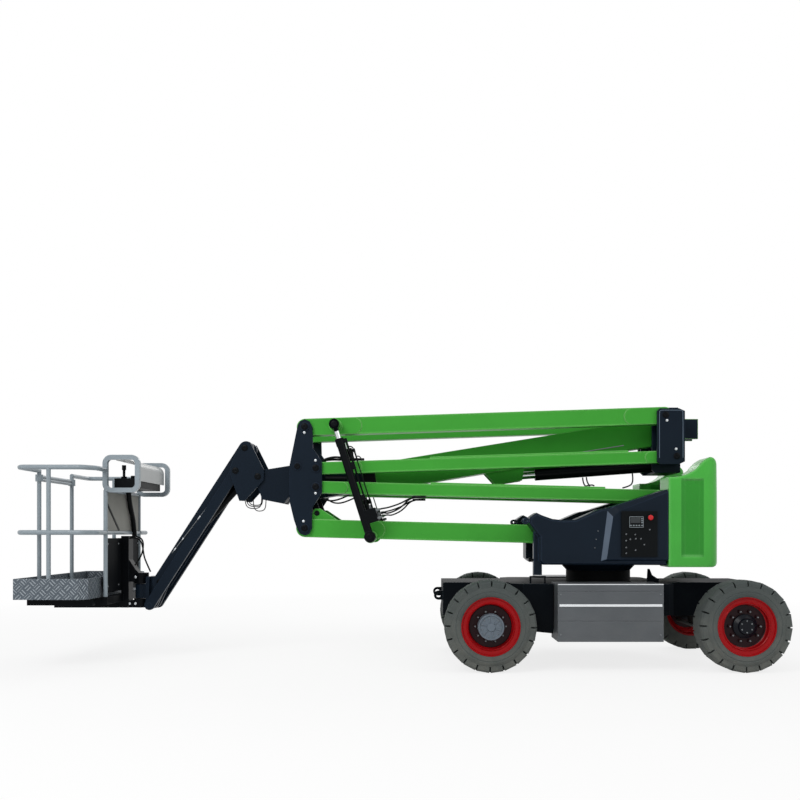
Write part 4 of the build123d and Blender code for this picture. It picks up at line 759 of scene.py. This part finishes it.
line_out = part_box("main_boom")[1].y + LINE_PROUD
for hand, side in HANDS:
    along = [boom_pin + run * boom_way + LINE_RISE * boom_rise for run in LINE_RUN]
    tube(f"boom_line_{hand}", [(at.x, side * line_out, at.z) for at in along], BOOM_LINE_R, dull_zinc,
         "main_boom")
for k, points in enumerate(LIFT_HOSES):
    hose(f"lift_hose_{k}", [(x, -out, z) for x, out, z in points], LIFT_HOSE_WIDTH, "lift_barrel")

# ---------------------------------------------------------------- knee and jib
# Welded plate knee that stays level, and a jib of two parallel welded arms, all in slate enamel. Thin hoses
# hang in loops where they cross from the boom's mouth to the jib, and go on as steel lines in clips.
# Each loop goes up again inside a cheek: start across, end along, end across, drop.
KNEE_LOOPS = ((-0.118, -1.330, -0.140, 0.105), (-0.100, -1.300, -0.139, 0.078),
              (-0.070, -1.318, -0.132, 0.088), (0.100, -1.312, 0.140, 0.120))
LOOP_START_X, LOOP_START_Z, LOOP_END_Z, LOOP_WIDTH = -1.196, 1.385, 1.392, 0.0078
# The jib's line, back from its foot pin and up, and the clips and couplings on it, each with its length.
JIB_LINE, JIB_LINE_R = ((0.1034, 0.2465), (0.2584, 0.4465), (0.3984, 0.6315), (0.4984, 0.7615)), 0.004
JIB_CLIPS = ((0.1284, 0.2785, 0.030), (0.1964, 0.3665, 0.022), (0.3334, 0.5455, 0.040),
             (0.4534, 0.7015, 0.024))
CLIP_SUNK, CLIP_PROUD, CLIP_HALF = 0.004, 0.008, 0.005
clip_tilt = -math.atan2(JIB_LINE[-1][1] - JIB_LINE[0][1], JIB_LINE[-1][0] - JIB_LINE[0][0])
# Pins of the knee and the jib: name, body, joint, how far out the cap sits.
JIB_CAPS = (("knee", "knee_bracket", "knee_level", 0.165), ("jib_head", "knee_bracket", "jib_lift", 0.165),
            ("jib_link_head", "knee_bracket", "jib_link_pivot", 0.165),
            ("jib_foot", "platform_bracket", "platform_level", 0.104))
dress(slate_enamel, "knee_bracket", "jib_arm", "jib_link", "platform_bracket")
dress(black_enamel, "jib_barrel")
dress(hard_chrome, "jib_rod")

for k, (across, end_x, end_across, drop) in enumerate(KNEE_LOOPS):
    start, end = Vector((LOOP_START_X, across, LOOP_START_Z)), Vector((end_x, end_across, LOOP_END_Z))
    lowest = Vector((0, 0, drop))
    points = [start, start.lerp(end, -0.02) - lowest * 0.5, start.lerp(end, 0.12) - lowest,
              start.lerp(end, 0.85) - lowest * 1.05, start.lerp(end, 1.02) - lowest * 0.5, end]
    hose(f"knee_hose_{k}", points, LOOP_WIDTH, "knee_bracket")
foot, jib_out = pin("platform_level"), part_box("jib_arm")[1].y
for hand, side in HANDS:
    points = [(foot.x + back, side * (jib_out + LINE_PROUD), foot.z + up) for back, up in JIB_LINE]
    tube(f"jib_line_{hand}", points, JIB_LINE_R, dull_zinc, "jib_arm")
    for k, (back, up, length) in enumerate(JIB_CLIPS):
        x, z = foot.x + back, foot.z + up
        inside, outside = sorted((side * (jib_out - CLIP_SUNK), side * (jib_out + CLIP_PROUD)))
        clip = rounded_box(f"jib_clip_{hand}_{k}", (x - length / 2, inside, z - CLIP_HALF),
                           (x + length / 2, outside, z + CLIP_HALF), 0.002, bright_zinc, tilt=clip_tilt)
        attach(clip, "jib_arm")
    for name, body, at_joint, out in JIB_CAPS:
        at = pin(at_joint)
        cap = turned(f"{name}_cap_{hand}", CAP, (at.x, side * out, at.z), (0, side, 0), 24, black_enamel)
        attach(cap, body)

# ---------------------------------------------------------------- platform
# Bent and welded tube rails sprayed silver grey over an aluminium chequer-plate floor with a tall toe board.
# Behind it stand a grey sheet, a black one and the mast; the console lies under a pale moulded shell.


def chequer(name, colour, bar, cell, height):
    """Rolled aluminium plate: so many bars to a cell, leaning by turns both ways; the rest is in metres."""
    # Its edges are paler with rubbed wear and a painted highlight.
    made = finish(name, colour, 0.36, metallic=0.45, spread=0.06, edge=0.002, wear_and_highlight="#A9B1B7")
    tree = made.node_tree
    shader = next(node for node in tree.nodes if node.bl_idname == "ShaderNodeBsdfPrincipled")
    bump = next(node for node in tree.nodes if node.bl_idname == "ShaderNodeBump")
    plain = shader.inputs["Base Color"].links[0]
    where = put(tree, "ShaderNodeTexCoord")
    split = put(tree, "ShaderNodeSeparateXYZ", [], [("Vector", where, "Object")])
    level = put(tree, "ShaderNodeMath", [("operation", "ADD")], [(0, split, "X"), (1, split, "Y")])
    per_cell = math.sqrt(0.5) / cell
    pair = []
    for operation in ("ADD", "SUBTRACT"):
        lean = put(tree, "ShaderNodeMath", [("operation", operation)], [(0, level, 0), (1, split, "Z")])
        pair.append(put(tree, "ShaderNodeMath", [("operation", "MULTIPLY"), (1, per_cell)], [(0, lean, 0)]))
    floors = [put(tree, "ShaderNodeMath", [("operation", "FLOOR")], [(0, across, 0)]) for across in pair]
    count = put(tree, "ShaderNodeMath", [("operation", "ADD")], [(0, floors[0], 0), (1, floors[1], 0)])
    odd = put(tree, "ShaderNodeMath", [("operation", "PINGPONG"), (1, 1.0)], [(0, count, 0)])
    ridges = []
    for across in pair:
        wave = put(tree, "ShaderNodeMath", [("operation", "MULTIPLY"), (1, math.tau * bar)], [(0, across, 0)])
        ridges.append(put(tree, "ShaderNodeMath", [("operation", "SINE")], [(0, wave, 0)]))
    ridge = put(tree, "ShaderNodeMix", [("data_type", "FLOAT")],
                [(0, odd, 0), (2, ridges[0], 0), (3, ridges[1], 0)])
    raised = put(tree, "ShaderNodeMapRange", [("From Min", 0.1), ("From Max", 0.5)], [("Value", ridge, 0)])
    for across in pair:
        # The bars stop short of their cell's sides.
        side = put(tree, "ShaderNodeMath", [("operation", "PINGPONG"), (1, 0.5)], [(0, across, 0)])
        inside = put(tree, "ShaderNodeMapRange", [("From Min", 0.06), ("From Max", 0.13)],
                     [("Value", side, 0)])
        raised = put(tree, "ShaderNodeMath", [("operation", "MULTIPLY")], [(0, raised, 0), (1, inside, 0)])
    part = put(tree, "ShaderNodeMath", [("operation", "MULTIPLY"), (1, 0.6)], [(0, raised, 0)])
    bright, output = lay(tree, (plain.from_node, plain.from_socket.name), part, "#B4BCC2")
    tree.links.new(bright.outputs[output], shader.inputs["Base Color"])
    bars = put(tree, "ShaderNodeBump", [("Strength", 0.9), ("Distance", height)],
               [("Height", raised, 0), ("Normal", bump, 0)])
    tree.links.new(bars.outputs[0], shader.inputs["Normal"])
    return made


# Sprayed silver-grey enamel on bent tube, smooth with some clear gloss.
silver_enamel = finish("silver_grey_enamel_on_tube", "#8C979E", 0.32, spread=0.05, coat=0.25)
# Mill-finish chequer plate, its bars rubbed bright: two or three bars to a cell of 54 mm, 2.5 mm high.
chequer_sheet = chequer("aluminium_chequer_plate", "#5A626A", 2.5, 0.054, 0.0025)
# Moulded ABS, pale grey and satin.
pale_shell = finish("pale_moulded_shell", "#A8ABAB", 0.32, spread=0.08, coat=0.1)
# Matt grey sheet, and below it the black one, which begins at the mast's head.
mast_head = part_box("platform_mount")[1].z
grey_sheet = finish("grey_sheet_over_black", "#92928D", 0.6, spread=0.12, shine=0.05,
                    zones=((along_zone(ORIGIN, ALONG_Z, -1.0, mast_head), "#0E1013"),))
dress(silver_enamel, "platform_rails", "console_loops", "gate_bar")
dress(chequer_sheet, "platform_floor")
dress(pale_shell, "console_cover")
dress(black_enamel, "platform_mount")
dress(black_plastic, "platform_console")
dress(grey_sheet, "rear_panels")

# Hose sleeve from the console down to the black sheet, and two hoses from the mast's head: one down to the
# jib's foot, and one back to the mast.
SLEEVE = [(-2.372, 0.050, 1.446), (-2.374, 0.060, 1.400), (-2.376, 0.110, 1.300), (-2.376, 0.185, 1.200),
          (-2.378, 0.215, 1.120), (-2.376, 0.230, 1.040)]
MAST_HOSES = (("down", -0.060, [(-2.330, 1.030), (-2.285, 1.036), (-2.235, 1.018), (-2.215, 0.950),
                                (-2.205, 0.870), (-2.175, 0.800), (-2.150, 0.745)]),
              ("back", -0.035, [(-2.330, 1.040), (-2.275, 1.050), (-2.222, 1.020), (-2.218, 0.940),
                                (-2.245, 0.860), (-2.290, 0.800)]))
SLEEVE_WIDTH, MAST_HOSE_WIDTH = 0.042, 0.013
hose("console_sleeve", SLEEVE, SLEEVE_WIDTH, "platform")
for name, across, points in MAST_HOSES:
    hose(f"mast_hose_{name}", [(x, across, z) for x, z in points], MAST_HOSE_WIDTH, "platform")

# A black strip across the grey sheet, put there as a painted diagonal shadow; the sheets' screws, and the
# screws of the rotator.
low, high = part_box("rear_panels")
SHADOW_PROUD, SHADOW_HALF_LENGTH, SHADOW_HALF_WIDTH = (0.0005, 0.0025), 0.190, 0.014
SHADOW_ACROSS, SHADOW_DOWN, SHADOW_LEAN = -0.262, 0.201, math.radians(-36)
# The sheets' screws: how far they are sunk, across, and up from the lower edge.
PANEL_SCREW = [(0.008, 0), (0.008, 0.003), (0.005, 0.006)]
PANEL_SCREW_SUNK, PANEL_SCREW_Y, PANEL_SCREW_UP = 0.0002, (-0.39, -0.13, 0.13, 0.39), (0.052, 0.397)
# The rotator's screws, from its axis: along X and up.
TURN_SCREW = [(0.012, 0), (0.012, 0.007), (0.006, 0.009)]
TURN_SCREW_OUT, TURN_SCREWS = -0.050, ((-0.035, 0.120), (-0.035, -0.105), (-0.085, -0.105))
shadow_low, shadow_high = zip(SHADOW_PROUD, (-SHADOW_HALF_LENGTH, SHADOW_HALF_LENGTH),
                          (-SHADOW_HALF_WIDTH, SHADOW_HALF_WIDTH))
# The black strip stands in for the diagonal shadow that falls across the grey sheet.
shadow_band = rounded_box("shadow_strip", shadow_low, shadow_high, 0.0008, black_plastic)
shadow_strip = repeat(shadow_band, "panel_shadow_strip", [(high.x, SHADOW_ACROSS, high.z - SHADOW_DOWN)], [(SHADOW_LEAN, 0, 0)])
screw = turned("panel_screw", PANEL_SCREW, (0, 0, 0), (1, 0, 0), 10, dull_zinc)
seat = high.x - PANEL_SCREW_SUNK
places = [(seat, across, low.z + up) for across in PANEL_SCREW_Y for up in PANEL_SCREW_UP]
panel_screws = repeat(screw, "panel_screws", places)
screw = turned("turn_screw", TURN_SCREW, (0, 0, 0), (0, -1, 0), 6, bright_zinc)
axis = pin("platform_turn")
places = [(axis.x + along, TURN_SCREW_OUT, axis.z + up) for along, up in TURN_SCREWS]
turn_screws = repeat(screw, "rotator_screws", places)
for piece in (shadow_strip, panel_screws, turn_screws):
    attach(piece, "platform")
